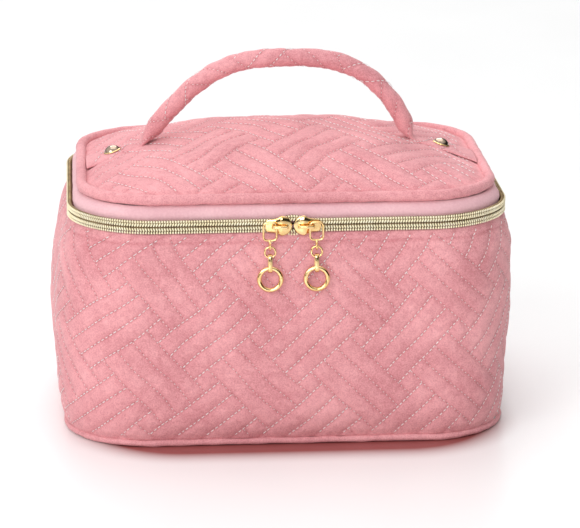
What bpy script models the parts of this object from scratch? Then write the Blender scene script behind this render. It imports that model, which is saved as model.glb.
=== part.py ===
"""A quilted velvet makeup bag with a zipped, domed lid, as separate sewn and cast pieces.

Metres, +Z up. The origin is on the ground under the middle of the base, and the front faces -Y.
The lid opens on a strip of velvet at the back. Two sliders meet at the middle of the front.
"""

from math import cos, pi, radians, sin

import bmesh
import bpy
from mathutils import Matrix, Vector

# Driving dimensions -------------------------------------------------------------------------

GAP = 0.0003                     # kept between pieces that touch or are sewn together

WALL_THICK = 0.0026              # velvet quilted onto wadding
FOAM_THICK = 0.0015
LINING_THICK = 0.0006
TAPE_THICK = 0.0005

# The quilted wall: height, half width, half depth, corner radius, bow of the sides.
WALL_SECTIONS = (
    (0.0035, 0.1075, 0.0780, 0.040, 0.0000),
    (0.0120, 0.1095, 0.0800, 0.041, 0.0008),
    (0.0320, 0.1104, 0.0814, 0.042, 0.0018),
    (0.0560, 0.1109, 0.0819, 0.042, 0.0024),
    (0.0800, 0.1097, 0.0820, 0.042, 0.0018),
    (0.0940, 0.1080, 0.0820, 0.0415, 0.0008),
    (0.1035, 0.1041, 0.0812, 0.0411, 0.0000),
)

ZIP_Z = 0.1080                   # plane where the two rows of coil meet
ZIP_HALF = (0.1040, 0.0812)      # outer face of the coils: half width, half depth
ZIP_RADIUS = 0.0410
COIL_THICK = 0.0023
COIL_HEIGHT = 0.00285
COIL_ROUND = 0.0007
COIL_SPLIT = 0.0009              # slot between the rows, where the slider's web runs
ZIP_END_X = 0.0560               # the zip stops this far from the middle of the back
HINGE_THICK = 0.0016

TAPE_LOW_Z = 0.0960
BINDING_TOP_Z = 0.1030
BINDING_THICK = 0.0012
LID_SEAM_Z = 0.1164              # where the upper tape is sewn under the piping
LID_SEAM_HALF = (0.0974, 0.0746)
LID_SEAM_RADIUS = 0.0372
LID_BINDING_Z = (0.1122, 0.1160)

PIPING_R = 0.0025
PIPING_Z = 0.1192
PIPING_HALF = (0.0973, 0.0736)
PIPING_RADIUS = 0.0365

DOME_HALF = (0.0941, 0.0704)
DOME_RADIUS = 0.0340
DOME_EDGE_Z = 0.1192
DOME_RISE = 0.0200
DOME_POWER = 1.6
DOME_RINGS = (1.0, 0.86, 0.66, 0.42, 0.18)

WELT_R = 0.0016
WELT_HALF = (0.1062, 0.0772)
BASE_THICK = 0.0024
BOARD_THICK = 0.0018

HANDLE_R = 0.0051
HANDLE_COVER_THICK = 0.00055
HANDLE_CORE_R = 0.00345
HANDLE_REACH = 0.0645            # from the middle of the arch to each foot
HANDLE_FOOT_Z = 0.1312
HANDLE_RISE = 0.0395
HANDLE_POWER = 2.9
HANDLE_SHIFT = -0.0018           # the feet are sewn a little to the left of the middle
HANDLE_TOP_SHIFT = 0.0028        # and the top of the arch leans a little to the right
HANDLE_FOOT_SHARE = 0.45         # the stuffed roll thins to this share of its radius at its feet

TAB_HALF_WIDTH = 0.0095
TAB_THICK = 0.0018
TAB_OUTER_X = 0.0926
RIVET_X = 0.0797
RIVET_CAP_R = 0.0043
RIVET_CAP_H = 0.0026
RIVET_SHAFT_R = 0.0013
RIVET_SHAFT_L = 0.0090
RIVET_BACK_R = 0.0036
RIVET_BACK_H = 0.0009

SLIDER_NOSE_X = 0.0004           # from the middle of the front to the slider's wide end
SLIDER_LENGTH = 0.0125
SLIDER_HALF = 0.0048             # half its width, at the shoulders
SLIDER_TAIL_HALF = 0.0034
SLIDER_PLATE = 0.0012
SLIDER_BACK_HALF = 0.0033
SLIDER_BACK_THICK = 0.0010
SLIDER_WEB = 0.0003
BRIDGE_R = 0.0005
BRIDGE_REACH = (0.0026, 0.0096)  # its two posts, from the middle of the front
BRIDGE_STAND = 0.0031            # its bar, in front of the plate

PULL_X = 0.01085                 # the pull hangs this far from the middle of the front
PULL_TILT = radians(3)           # it leans out over the wall
FRAME_HALF = 0.00305
FRAME_BEHIND = 0.00135           # the frame hangs behind the bar, through the bridge
FRAME_TOP = 0.0021
FRAME_BOTTOM = -0.00625
FRAME_CORNER = 0.0018
PULL_WIRE_R = 0.0005
EYE_R = 0.0013
EYE_Z = -0.0093
SMALL_RING_R = 0.0025
BIG_RING_R = 0.00515
BIG_RING_WIRE_R = 0.00105
LINK_HALF_WIDTH = 0.0010
LINK_WALL = 0.0006
LINK_LENGTH = 0.00515

CORNER_STEPS = 6
SIDE_STEPS = 3

# Helpers ------------------------------------------------------------------------------------


def clear_scene():
    for item in list(bpy.data.objects):
        bpy.data.objects.remove(item)


def new_collection(name):
    collection = bpy.data.collections.new(name)
    bpy.context.scene.collection.children.link(collection)
    return collection


def material(name, colour, roughness, metallic=0.0):
    made = bpy.data.materials.new(name)
    made.use_nodes = True
    shader = made.node_tree.nodes["Principled BSDF"]
    shader.inputs["Base Color"].default_value = (*colour, 1.0)
    shader.inputs["Roughness"].default_value = roughness
    shader.inputs["Metallic"].default_value = metallic
    made.diffuse_color = (*colour, 1.0)
    return made


def part(name, data, finish):
    """A named piece in the bag's collection, with its own copy of a finish."""
    piece = bpy.data.objects.new(name, data)
    data.materials.clear()
    data.materials.append(finish.copy())
    data.materials[0].name = name
    bag_collection.objects.link(piece)
    return piece


def cutter(name, data):
    tool = bpy.data.objects.new(name, data)
    tool.hide_render = True
    tool.display_type = "WIRE"
    cutter_collection.objects.link(tool)
    return tool


def mesh_of(bm, name):
    bmesh.ops.recalc_face_normals(bm, faces=bm.faces)
    mesh = bpy.data.meshes.new(name)
    bm.to_mesh(mesh)
    bm.free()
    return mesh


def smooth(mesh):
    mesh.shade_smooth()
    mesh.set_sharp_from_angle(angle=radians(40))


def outline(half_width, half_depth, radius, bow=0.0):
    """A rounded rectangle in plan, counter-clockwise, whose straight sides bow out a little."""
    flat_x, flat_y = half_width - radius, half_depth - radius
    points = []
    for quarter, (cx, cy) in enumerate(
        ((flat_x, flat_y), (-flat_x, flat_y), (-flat_x, -flat_y), (flat_x, -flat_y))
    ):
        for step in range(CORNER_STEPS + 1):
            angle = (quarter + step / CORNER_STEPS) * pi / 2
            points.append((cx + radius * cos(angle), cy + radius * sin(angle)))
        for step in range(1, SIDE_STEPS):
            share = 2 * step / SIDE_STEPS - 1
            swell = bow * (1 - share * share)
            if quarter == 0:
                points.append((-share * flat_x, half_depth + swell))
            elif quarter == 1:
                points.append((-half_width - swell, -share * flat_y))
            elif quarter == 2:
                points.append((share * flat_x, -half_depth - swell))
            else:
                points.append((half_width + swell, share * flat_y))
    return points


def zip_run(half_width, half_depth, radius):
    """The stretch of an outline that the zip follows: back left, round the front, back right."""
    points = outline(half_width, half_depth, radius)
    corner = CORNER_STEPS + 1
    start = corner + SIDE_STEPS - 1
    run = points[start:] + points[:corner]
    return [(-ZIP_END_X, half_depth), *run, (ZIP_END_X, half_depth)]


def back_run(half_depth):
    """The straight stretch across the back that the zip leaves free, right to left."""
    reach = ZIP_END_X - GAP
    return [(reach, half_depth), (0.0, half_depth), (-reach, half_depth)]


def at_height(points, z):
    return [(x, y, z) for x, y in points]


def loft(name, rings, closed=True, floor=False, lid=False, tip=None):
    """A surface through rings of equally many points, listed from the bottom up or from the rim in."""
    bm = bmesh.new()
    rows = [[bm.verts.new(point) for point in ring] for ring in rings]
    for low, high in zip(rows, rows[1:]):
        for i in range(len(low) if closed else len(low) - 1):
            j = (i + 1) % len(low)
            bm.faces.new((low[i], low[j], high[j], high[i]))
    if floor:
        bm.faces.new(rows[0][::-1])
    if lid:
        bm.faces.new(rows[-1])
    if tip:
        peak = bm.verts.new(tip)
        for i, corner in enumerate(rows[-1]):
            bm.faces.new((corner, rows[-1][(i + 1) % len(rows[-1])], peak))
    mesh = bpy.data.meshes.new(name)
    bm.to_mesh(mesh)
    bm.free()
    smooth(mesh)
    return mesh


def thicken(piece, thickness, outward=False):
    """Solidify: the modelled surface is the outer face, unless outward is set."""
    modifier = piece.modifiers.new("Thickness", "SOLIDIFY")
    modifier.thickness = thickness
    modifier.offset = 1.0 if outward else -1.0
    modifier.use_even_offset = True


def round_edges(piece, width):
    modifier = piece.modifiers.new("Rounded", "BEVEL")
    modifier.width = width
    modifier.segments = 1
    modifier.limit_method = "ANGLE"
    modifier.angle_limit = radians(50)


def boolean(piece, other, operation):
    modifier = piece.modifiers.new(operation.title(), "BOOLEAN")
    modifier.operation = operation
    modifier.object = other
    modifier.solver = "EXACT"


def wire_curve(name, points, radius, cyclic=False, shares=None, capped=True, resolution=2):
    """A round tube through the points."""
    curve = bpy.data.curves.new(name, "CURVE")
    curve.dimensions = "3D"
    curve.bevel_depth = radius
    curve.bevel_resolution = resolution
    curve.use_fill_caps = capped and not cyclic
    spline = curve.splines.new("POLY")
    spline.points.add(len(points) - 1)
    for i, point in enumerate(points):
        spline.points[i].co = (*point, 1.0)
        spline.points[i].radius = shares[i] if shares else 1.0
    spline.use_cyclic_u = cyclic
    return curve


def curve_as_mesh(curve, name):
    """The curve's tube as a closed mesh, so that it can be cut or joined."""
    source = bpy.data.objects.new(name + "_curve", curve)
    bpy.context.scene.collection.objects.link(source)
    bpy.context.view_layer.update()
    graph = bpy.context.evaluated_depsgraph_get()
    mesh = bpy.data.meshes.new_from_object(source.evaluated_get(graph))
    bpy.data.objects.remove(source)
    bm = bmesh.new()
    bm.from_mesh(mesh)
    bmesh.ops.remove_doubles(bm, verts=bm.verts, dist=1e-6)
    bm.to_mesh(mesh)
    bm.free()
    mesh.name = name
    return mesh


def box_mesh(name, low, high):
    bm = bmesh.new()
    bmesh.ops.create_cube(bm, size=1.0)
    size = Vector(high) - Vector(low)
    centre = (Vector(high) + Vector(low)) / 2
    bmesh.ops.transform(bm, matrix=Matrix.Diagonal((*size, 1.0)), verts=bm.verts)
    bmesh.ops.translate(bm, vec=centre, verts=bm.verts)
    return mesh_of(bm, name)


def circle(radius, centre, plane, steps):
    """Points on a circle round a centre, in the plane XZ or YZ."""
    points = []
    for i in range(steps):
        across, up = radius * cos(2 * pi * i / steps), radius * sin(2 * pi * i / steps)
        offset = (across, 0.0, up) if plane == "XZ" else (0.0, across, up)
        points.append(tuple(Vector(centre) + Vector(offset)))
    return points


def flat_shape(name, loops, half_thickness):
    """A flat outline, with holes if there are more loops, as a filled and extruded 2D curve."""
    curve = bpy.data.curves.new(name, "CURVE")
    curve.dimensions = "2D"
    curve.fill_mode = "BOTH"
    curve.extrude = half_thickness
    for loop in loops:
        spline = curve.splines.new("POLY")
        spline.points.add(len(loop) - 1)
        for i, (x, y) in enumerate(loop):
            spline.points[i].co = (x, y, 0.0, 1.0)
        spline.use_cyclic_u = True
    return curve


# Finishes -----------------------------------------------------------------------------------

clear_scene()
bag_collection = new_collection("makeup_bag")
cutter_collection = new_collection("cutters")

VELVET = material("velvet", (0.72, 0.28, 0.31), 0.9)
TAPE = material("woven_tape", (0.74, 0.40, 0.44), 0.8)
LINING = material("lining", (0.66, 0.33, 0.36), 0.7)
FOAM = material("foam", (0.85, 0.85, 0.83), 0.9)
BOARD = material("board", (0.78, 0.78, 0.76), 0.6)
COIL = material("gold_coil", (0.80, 0.66, 0.34), 0.35, 0.6)
GOLD = material("gold", (0.90, 0.66, 0.28), 0.18, 1.0)

# Body: base, wall, foam and lining ------------------------------------------------------------


def wall_rings(inset, low_z, high_z):
    """The wall's sections between two heights, moved inwards by inset."""

    def section_at(z):
        for low, high in zip(WALL_SECTIONS, WALL_SECTIONS[1:]):
            if z <= high[0]:
                share = (z - low[0]) / (high[0] - low[0])
                return [a + (b - a) * share for a, b in zip(low, high)]
        return list(WALL_SECTIONS[-1])

    between = [s[0] for s in WALL_SECTIONS if low_z < s[0] < high_z]
    rings = []
    for z in (low_z, *between, high_z):
        _, half_width, half_depth, radius, bow = section_at(z)
        plan = outline(half_width - inset, half_depth - inset, radius - inset, bow)
        rings.append(at_height(plan, z))
    return rings


def flat_sheet(name, half_width, half_depth, radius, low_z, thickness, finish):
    """A flat piece with rounded corners, lying level."""
    plan = outline(half_width, half_depth, radius)
    rings = [at_height(plan, low_z), at_height(plan, low_z + thickness)]
    return part(name, loft(name, rings, floor=True, lid=True), finish)


def make_base():
    """The folded welt, the panel inside it, and the board that keeps the base flat."""
    welt_path = at_height(outline(*WELT_HALF, 0.0395), WELT_R)
    part("base_welt", wire_curve("base_welt", welt_path, WELT_R, cyclic=True), VELVET)
    panel_half = [half - WELT_R - GAP for half in WELT_HALF]
    flat_sheet("base_panel", *panel_half, 0.0376, 0.0, BASE_THICK, VELVET)
    board_half = [half - WALL_THICK - 3 * GAP for half in WALL_SECTIONS[0][1:3]]
    flat_sheet("base_board", *board_half, 0.036, BASE_THICK + GAP, BOARD_THICK, BOARD)


def make_body():
    """The quilted wall, the foam behind it, the open box of lining, and the binding at its mouth."""
    inside_low = BASE_THICK + BOARD_THICK + 2 * GAP
    lining_top = TAPE_LOW_Z - GAP
    wall_rows = wall_rings(0.0, WALL_SECTIONS[0][0], WALL_SECTIONS[-1][0])
    thicken(part("quilted_wall", loft("quilted_wall", wall_rows), VELVET), WALL_THICK)

    foam_inset = WALL_THICK + 2 * GAP
    foam_rows = wall_rings(foam_inset, inside_low, lining_top)
    thicken(part("wall_foam", loft("wall_foam", foam_rows), FOAM), FOAM_THICK)

    lining_inset = foam_inset + FOAM_THICK + 2 * GAP
    lining_rows = wall_rings(lining_inset, inside_low, lining_top)
    lining = part("body_lining", loft("body_lining", lining_rows, floor=True), LINING)
    thicken(lining, LINING_THICK)

    binding_half = [half - COIL_THICK - TAPE_THICK - 3 * GAP for half in ZIP_HALF]
    binding_path = outline(*binding_half, ZIP_RADIUS - COIL_THICK)
    binding_rows = [at_height(binding_path, z) for z in (TAPE_LOW_Z, BINDING_TOP_Z)]
    thicken(part("mouth_binding", loft("mouth_binding", binding_rows), TAPE), BINDING_THICK)


# Zip: two tapes and two rows of coil ----------------------------------------------------------


def tape_face(extra=0.0):
    """Half width, half depth and corner radius of the tapes' outer face, just behind the coils."""
    inset = COIL_THICK + 2 * GAP + extra
    return ZIP_HALF[0] - inset, ZIP_HALF[1] - inset, ZIP_RADIUS - inset


def make_zip():
    half_slot = COIL_SPLIT / 2
    face = tape_face()
    lower = [at_height(zip_run(*face), z) for z in (TAPE_LOW_Z, ZIP_Z - half_slot - GAP / 2)]
    upper = [at_height(zip_run(*face), z) for z in (ZIP_Z + half_slot + GAP / 2, ZIP_Z + 0.0035)]
    upper.append(at_height(zip_run(*LID_SEAM_HALF, LID_SEAM_RADIUS), LID_SEAM_Z))
    for name, rows in (("zip_tape_lower", lower), ("zip_tape_upper", upper)):
        thicken(part(name, loft(name, rows, closed=False), TAPE), TAPE_THICK)

    run = zip_run(*ZIP_HALF, ZIP_RADIUS)
    lower_z, upper_z = ZIP_Z - half_slot - COIL_HEIGHT, ZIP_Z + half_slot
    for name, low_z in (("zip_coil_lower", lower_z), ("zip_coil_upper", upper_z)):
        rows = [at_height(run, z) for z in (low_z, low_z + COIL_HEIGHT)]
        coil = part(name, loft(name, rows, closed=False), COIL)
        thicken(coil, COIL_THICK)
        round_edges(coil, COIL_ROUND)


def make_hinge():
    """The velvet strip across the back, in two leaves that part at the fold."""
    wall_top = WALL_SECTIONS[-1][0]
    lower = [at_height(back_run(ZIP_HALF[1]), z) for z in (wall_top + GAP, ZIP_Z - GAP / 2)]
    upper = [at_height(back_run(ZIP_HALF[1]), z) for z in (ZIP_Z + GAP / 2, ZIP_Z + 0.003)]
    upper.append(at_height(back_run(LID_SEAM_HALF[1] + 0.0010), LID_SEAM_Z))
    for name, rows in (("hinge_leaf_lower", lower), ("hinge_leaf_upper", upper)):
        thicken(part(name, loft(name, rows, closed=False), VELVET), HINGE_THICK)


# Lid: piping, quilted panel, foam and lining --------------------------------------------------


def dome_height(share):
    """Height of the quilted panel's top, for a share of the way from the middle to the edge."""
    return DOME_EDGE_Z + DOME_RISE * (1 - share**DOME_POWER)


def dome_layer(name, drop, spread, thickness, finish):
    """One layer of the lid, drop below the panel's top; spread widens it at its edge."""
    rings = []
    for share in DOME_RINGS:
        plan = outline(
            (DOME_HALF[0] + spread) * share,
            (DOME_HALF[1] + spread) * share,
            (DOME_RADIUS + spread) * share,
        )
        rings.append(at_height(plan, dome_height(share) - drop))
    layer = part(name, loft(name, rings, tip=(0.0, 0.0, dome_height(0.0) - drop)), finish)
    thicken(layer, thickness)
    return layer


def make_lid():
    piping_path = outline(*PIPING_HALF, PIPING_RADIUS)
    piping = wire_curve("lid_piping", at_height(piping_path, PIPING_Z), PIPING_R, cyclic=True)
    part("lid_piping", piping, VELVET)
    panel = dome_layer("quilted_lid", 0.0, 0.0, WALL_THICK, VELVET)
    foam = dome_layer("lid_foam", 0.0034, 0.0004, FOAM_THICK, FOAM)
    lining = dome_layer("lid_lining", 0.0056, 0.0006, LINING_THICK, LINING)
    path = outline(*[half - 0.0010 for half in LID_SEAM_HALF], LID_SEAM_RADIUS - 0.0010)
    binding_rows = [at_height(path, z) for z in LID_BINDING_Z]
    thicken(part("lid_binding", loft("lid_binding", binding_rows), TAPE), BINDING_THICK - 0.0002)
    return panel, foam, lining


# Handle, its tabs and rivets ------------------------------------------------------------------


def arch_points(steps):
    """Centre line of the handle's arch, and the share of its full radius at each point."""
    points, shares = [], []
    for i in range(steps + 1):
        across = sin(pi * (i / steps - 0.5))
        rise = 1 - abs(across) ** HANDLE_POWER
        low = (1 - rise) ** 2
        x = HANDLE_REACH * across + HANDLE_TOP_SHIFT * (1 - low) + HANDLE_SHIFT * low
        points.append((x, 0.0, HANDLE_FOOT_Z + HANDLE_RISE * rise))
        shares.append(HANDLE_FOOT_SHARE + (1 - HANDLE_FOOT_SHARE) * min(1.0, rise / 0.2))
    return points, shares


def make_handle():
    """The sewn tube of the handle, open at its feet, and the soft rod inside it."""
    points, shares = arch_points(20)
    tube = wire_curve("handle_cover", points, HANDLE_R, shares=shares, capped=False)
    cover = part("handle_cover", curve_as_mesh(tube, "handle_cover"), VELVET)
    thicken(cover, HANDLE_COVER_THICK)
    rod = wire_curve("handle_core", points[1:-1], HANDLE_CORE_R, shares=shares[1:-1])
    part("handle_core", rod, FOAM)


def rivet_frame(side):
    """A rivet's place: its origin on the tab's top, its Z along the rivet, square to the lid."""
    x = side * RIVET_X + HANDLE_SHIFT
    share = abs(x) / DOME_HALF[0]
    slope = DOME_RISE * DOME_POWER * share ** (DOME_POWER - 1) / DOME_HALF[0]
    normal = Vector((side * slope, 0.0, 1.0)).normalized()
    base = Vector((x, 0.0, dome_height(share))) + normal * (2 * GAP + TAB_THICK)
    return Matrix.Translation(base) @ normal.to_track_quat("Z", "Y").to_matrix().to_4x4()


def profile_mesh(name, profile):
    """Half a turned piece's outline, as radius and height, from its top down."""
    mesh = bpy.data.meshes.new(name)
    edges = [(i, i + 1) for i in range(len(profile) - 1)]
    mesh.from_pydata([(radius, 0.0, z) for radius, z in profile], edges, [])
    return mesh


def turn(piece, frame):
    """Spin a piece's profile round its own Z axis, and put it in its place."""
    modifier = piece.modifiers.new("Turned", "SCREW")
    modifier.steps = modifier.render_steps = 16
    modifier.use_merge_vertices = True
    modifier.merge_threshold = 1e-6
    piece.matrix_world = frame


def make_tab(side, name):
    """The flat end of the handle strap, lying on the lid from the piping to the foot of the arch."""
    foot_x = side * HANDLE_REACH + HANDLE_SHIFT
    inner_x = foot_x + side * 0.0035
    outer_x = side * TAB_OUTER_X
    steps = 6
    rows = []
    for half in (-TAB_HALF_WIDTH, TAB_HALF_WIDTH):
        row = []
        for i in range(steps + 1):
            x = outer_x + (inner_x - outer_x) * i / steps
            row.append((x, half, dome_height(abs(x) / DOME_HALF[0]) + GAP))
        rows.append(row if side < 0 else row[::-1])
    tab = part(name, loft(name, rows, closed=False), VELVET)
    thicken(tab, TAB_THICK, outward=True)
    return tab


def make_rivet(side, word, layers):
    """A domed cap with its shaft, the washer inside the lid, and the holes for both."""
    frame = rivet_frame(side)
    cap_profile = [(0.0, RIVET_CAP_H)]
    for angle in (radians(72), radians(50), radians(25), 0.0):
        cap_profile.append((RIVET_CAP_R * cos(angle), RIVET_CAP_H * sin(angle)))
    cap_profile += [(RIVET_SHAFT_R, 0.0), (RIVET_SHAFT_R, -RIVET_SHAFT_L), (0.0, -RIVET_SHAFT_L)]
    cap_name, back_name = f"rivet_cap_{word}", f"rivet_back_{word}"
    turn(part(cap_name, profile_mesh(cap_name, cap_profile), GOLD), frame)

    back_profile = [(0.0, 0.0), (RIVET_BACK_R, 0.0), (RIVET_BACK_R, -RIVET_BACK_H), (0.0, -RIVET_BACK_H)]
    back_frame = frame @ Matrix.Translation((0.0, 0.0, -RIVET_SHAFT_L - GAP))
    turn(part(back_name, profile_mesh(back_name, back_profile), GOLD), back_frame)

    hole_r = RIVET_SHAFT_R + GAP
    hole_profile = [(0.0, 0.006), (hole_r, 0.006), (hole_r, -0.012), (0.0, -0.012)]
    drill = cutter(f"rivet_drill_{word}", profile_mesh("rivet_drill", hole_profile))
    turn(drill, frame)
    for layer in layers:
        boolean(layer, drill, "DIFFERENCE")


# Sliders and their pulls ----------------------------------------------------------------------


def make_slider(side, word):
    """Two plates joined by a thin web between the rows of coil, with a bridge for the pull."""
    face_y = -ZIP_HALF[1] - GAP
    front_y = face_y - SLIDER_PLATE
    nose, tail = SLIDER_NOSE_X, SLIDER_NOSE_X + SLIDER_LENGTH
    shoulder = nose + 0.0042
    plan = [(nose, 0.0018), (nose + 0.0012, 0.0038), (shoulder - 0.0012, SLIDER_HALF)]
    plan += [(shoulder + 0.0016, SLIDER_HALF - 0.0003), (tail - 0.0010, SLIDER_TAIL_HALF), (tail, 0.0026)]
    loop = [(side * x, z) for x, z in plan] + [(side * x, -z) for x, z in reversed(plan)]
    plate = curve_as_mesh(flat_shape("plate", [loop], SLIDER_PLATE / 2), "plate")
    upright = Matrix.Translation((0.0, face_y - SLIDER_PLATE / 2, ZIP_Z)) @ Matrix.Rotation(pi / 2, 4, "X")
    plate.transform(upright)
    slider = part(f"slider_{word}", plate, GOLD)

    behind_y = tape_face()[1] - TAPE_THICK - GAP
    back_xs = sorted((side * (nose + 0.0004), side * (tail - 0.0006)))
    back = box_mesh(
        "back_plate",
        (back_xs[0], -behind_y, ZIP_Z - SLIDER_BACK_HALF),
        (back_xs[1], -behind_y + SLIDER_BACK_THICK, ZIP_Z + SLIDER_BACK_HALF),
    )
    web_xs = sorted((side * (nose + 0.0010), side * (nose + 0.0062)))
    web = box_mesh(
        "web",
        (web_xs[0], face_y - SLIDER_PLATE / 2, ZIP_Z - SLIDER_WEB / 2),
        (web_xs[1], -behind_y + SLIDER_BACK_THICK / 2, ZIP_Z + SLIDER_WEB / 2),
    )
    bar_y = front_y - BRIDGE_STAND
    foot_y = face_y - SLIDER_PLATE / 2
    near, far = BRIDGE_REACH
    bend = 0.0008
    part_bend = bend * 0.3
    staple = [(near, foot_y), (near, bar_y + bend), (near + part_bend, bar_y + part_bend)]
    staple += [(near + bend, bar_y), (far - bend, bar_y)]
    staple += [(far - part_bend, bar_y + part_bend), (far, bar_y + bend), (far, foot_y)]
    staple_points = [(side * x, y, ZIP_Z) for x, y in staple]
    bridge = curve_as_mesh(wire_curve("bridge", staple_points, BRIDGE_R), "bridge")
    for name, mesh in (("back_plate", back), ("web", web), ("bridge", bridge)):
        boolean(slider, cutter(f"{name}_{word}", mesh), "UNION")


def pull_origin(side):
    """An empty on the bridge's bar, tilted so that its -Z runs down the hanging pull."""
    bar_y = -ZIP_HALF[1] - GAP - SLIDER_PLATE - BRIDGE_STAND
    empty = bpy.data.objects.new(f"pull_origin_{'left' if side < 0 else 'right'}", None)
    empty.location = (side * PULL_X, bar_y, ZIP_Z)
    empty.rotation_euler = (-PULL_TILT, 0.0, 0.0)
    bag_collection.objects.link(empty)
    return empty


def hang(piece, empty, z, y=FRAME_BEHIND):
    piece.parent = empty
    piece.location = (0.0, y, z)


def frame_points():
    """The pull frame's wire: a rounded oblong, seen from the front."""
    flat_x = FRAME_HALF - FRAME_CORNER
    flat_z = (FRAME_TOP - FRAME_BOTTOM) / 2 - FRAME_CORNER
    middle = (FRAME_TOP + FRAME_BOTTOM) / 2
    points = []
    for quarter, (cx, cz) in enumerate(
        ((flat_x, flat_z), (-flat_x, flat_z), (-flat_x, -flat_z), (flat_x, -flat_z))
    ):
        for step in range(4):
            angle = (quarter + step / 3) * pi / 2
            points.append((cx + FRAME_CORNER * cos(angle), 0.0, middle + cz + FRAME_CORNER * sin(angle)))
    return points


def tapered_loop(top_r, bottom_r, length, steps=6):
    """Outline, in Y and Z, round a small circle at the top and a larger one length below it."""
    points = []
    for i in range(steps + 1):
        angle = pi * i / steps
        points.append((top_r * cos(angle), top_r * sin(angle)))
    for i in range(steps + 1):
        angle = pi + pi * i / steps
        points.append((bottom_r * cos(angle), -length + bottom_r * sin(angle)))
    return points


def make_pull(side, word):
    """Frame with its eye, small ring, folded link and large ring, each hanging from the one above."""
    empty = pull_origin(side)
    frame_wire = wire_curve("pull_frame", frame_points(), PULL_WIRE_R, cyclic=True, resolution=1)
    frame = part(f"pull_frame_{word}", curve_as_mesh(frame_wire, "pull_frame"), GOLD)
    hang(frame, empty, 0.0)
    eye_circle = circle(EYE_R, (0, 0, EYE_Z), "YZ", 12)
    eye = wire_curve("eye", eye_circle, PULL_WIRE_R - 0.00005, cyclic=True, resolution=1)
    neck = wire_curve("neck", [(0, 0, FRAME_BOTTOM), (0, 0, EYE_Z + EYE_R)], 0.0006, resolution=1)
    for name, curve in (("neck", neck), ("eye", eye)):
        tool = cutter(f"{name}_{word}", curve_as_mesh(curve, name))
        hang(tool, empty, 0.0)
        boolean(frame, tool, "UNION")

    small_circle = circle(SMALL_RING_R, (0, 0, 0), "XZ", 16)
    small = wire_curve("pull_small_ring", small_circle, PULL_WIRE_R, cyclic=True, resolution=1)
    hang(part(f"pull_small_ring_{word}", small, GOLD), empty, EYE_Z - SMALL_RING_R)

    link_top = EYE_Z - 2 * SMALL_RING_R
    top_hole, bottom_hole = PULL_WIRE_R + 2 * GAP, BIG_RING_WIRE_R + 1.5 * GAP
    loops = [tapered_loop(top_hole + wall, bottom_hole + wall, LINK_LENGTH) for wall in (LINK_WALL, 0.0)]
    link_mesh = curve_as_mesh(flat_shape("pull_link", loops, LINK_HALF_WIDTH), "pull_link")
    link_mesh.transform(Matrix(((0, 0, 1, 0), (1, 0, 0, 0), (0, 1, 0, 0), (0, 0, 0, 1))))
    hang(part(f"pull_link_{word}", link_mesh, GOLD), empty, link_top)

    big_circle = circle(BIG_RING_R, (0, 0, 0), "XZ", 20)
    big = wire_curve("pull_big_ring", big_circle, BIG_RING_WIRE_R, cyclic=True)
    big_centre = link_top - LINK_LENGTH - BIG_RING_R
    hang(part(f"pull_big_ring_{word}", big, GOLD), empty, big_centre)


# Assembly -------------------------------------------------------------------------------------

make_base()
make_body()
make_zip()
make_hinge()
lid_layers = make_lid()
make_handle()
for hand, hand_word in ((-1, "left"), (1, "right")):
    strap_end = make_tab(hand, f"handle_tab_{hand_word}")
    make_rivet(hand, hand_word, (strap_end, *lid_layers))
    make_slider(hand, hand_word)
    make_pull(hand, hand_word)
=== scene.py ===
import math

import bpy
import numpy as np
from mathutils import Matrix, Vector


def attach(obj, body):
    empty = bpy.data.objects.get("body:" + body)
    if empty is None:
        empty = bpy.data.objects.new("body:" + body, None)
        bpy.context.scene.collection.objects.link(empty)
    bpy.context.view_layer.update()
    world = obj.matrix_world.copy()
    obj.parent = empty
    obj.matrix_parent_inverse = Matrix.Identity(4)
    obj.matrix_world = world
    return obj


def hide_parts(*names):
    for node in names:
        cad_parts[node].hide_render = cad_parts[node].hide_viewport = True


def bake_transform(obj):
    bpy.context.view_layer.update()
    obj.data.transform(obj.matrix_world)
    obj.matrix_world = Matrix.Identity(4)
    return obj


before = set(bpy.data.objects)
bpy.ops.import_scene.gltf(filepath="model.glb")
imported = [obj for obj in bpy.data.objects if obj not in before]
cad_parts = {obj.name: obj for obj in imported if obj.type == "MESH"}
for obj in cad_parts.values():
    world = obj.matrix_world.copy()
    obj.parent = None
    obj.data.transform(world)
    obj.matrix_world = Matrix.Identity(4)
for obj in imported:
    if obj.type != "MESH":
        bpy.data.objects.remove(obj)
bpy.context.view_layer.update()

# %% [markdown]
# ## Camera
# A long lens from well back keeps the sides of a small bag nearly parallel, as a product shot does.
# The camera is aimed by pointing its -Z axis along the view, so no constraint is needed.
# %% Camera
azimuth, elevation, distance = math.radians(-4.08), math.radians(15.4), 1.5
back = Vector((math.sin(azimuth) * math.cos(elevation), -math.cos(azimuth) * math.cos(elevation),
    math.sin(elevation)))
right = (-back).cross(Vector((0, 0, 1))).normalized()
up = right.cross(-back)
camera = bpy.data.objects.new("camera", bpy.data.cameras.new("camera"))
bpy.context.scene.collection.objects.link(camera)
camera.location = Vector((0, 0, 0.060)) + back * distance + right * 0.00444 + up * 0.00672
camera.rotation_mode = "QUATERNION"
camera.rotation_quaternion = (-back).to_track_quat("-Z", "Y")
camera.data.sensor_width, camera.data.lens = 36, 188.5
camera.data.clip_start, camera.data.clip_end = 0.05, 60
bpy.context.scene.camera = camera
bpy.context.scene.view_settings.view_transform = "Standard"
print("camera", [round(c, 3) for c in camera.location])

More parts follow.
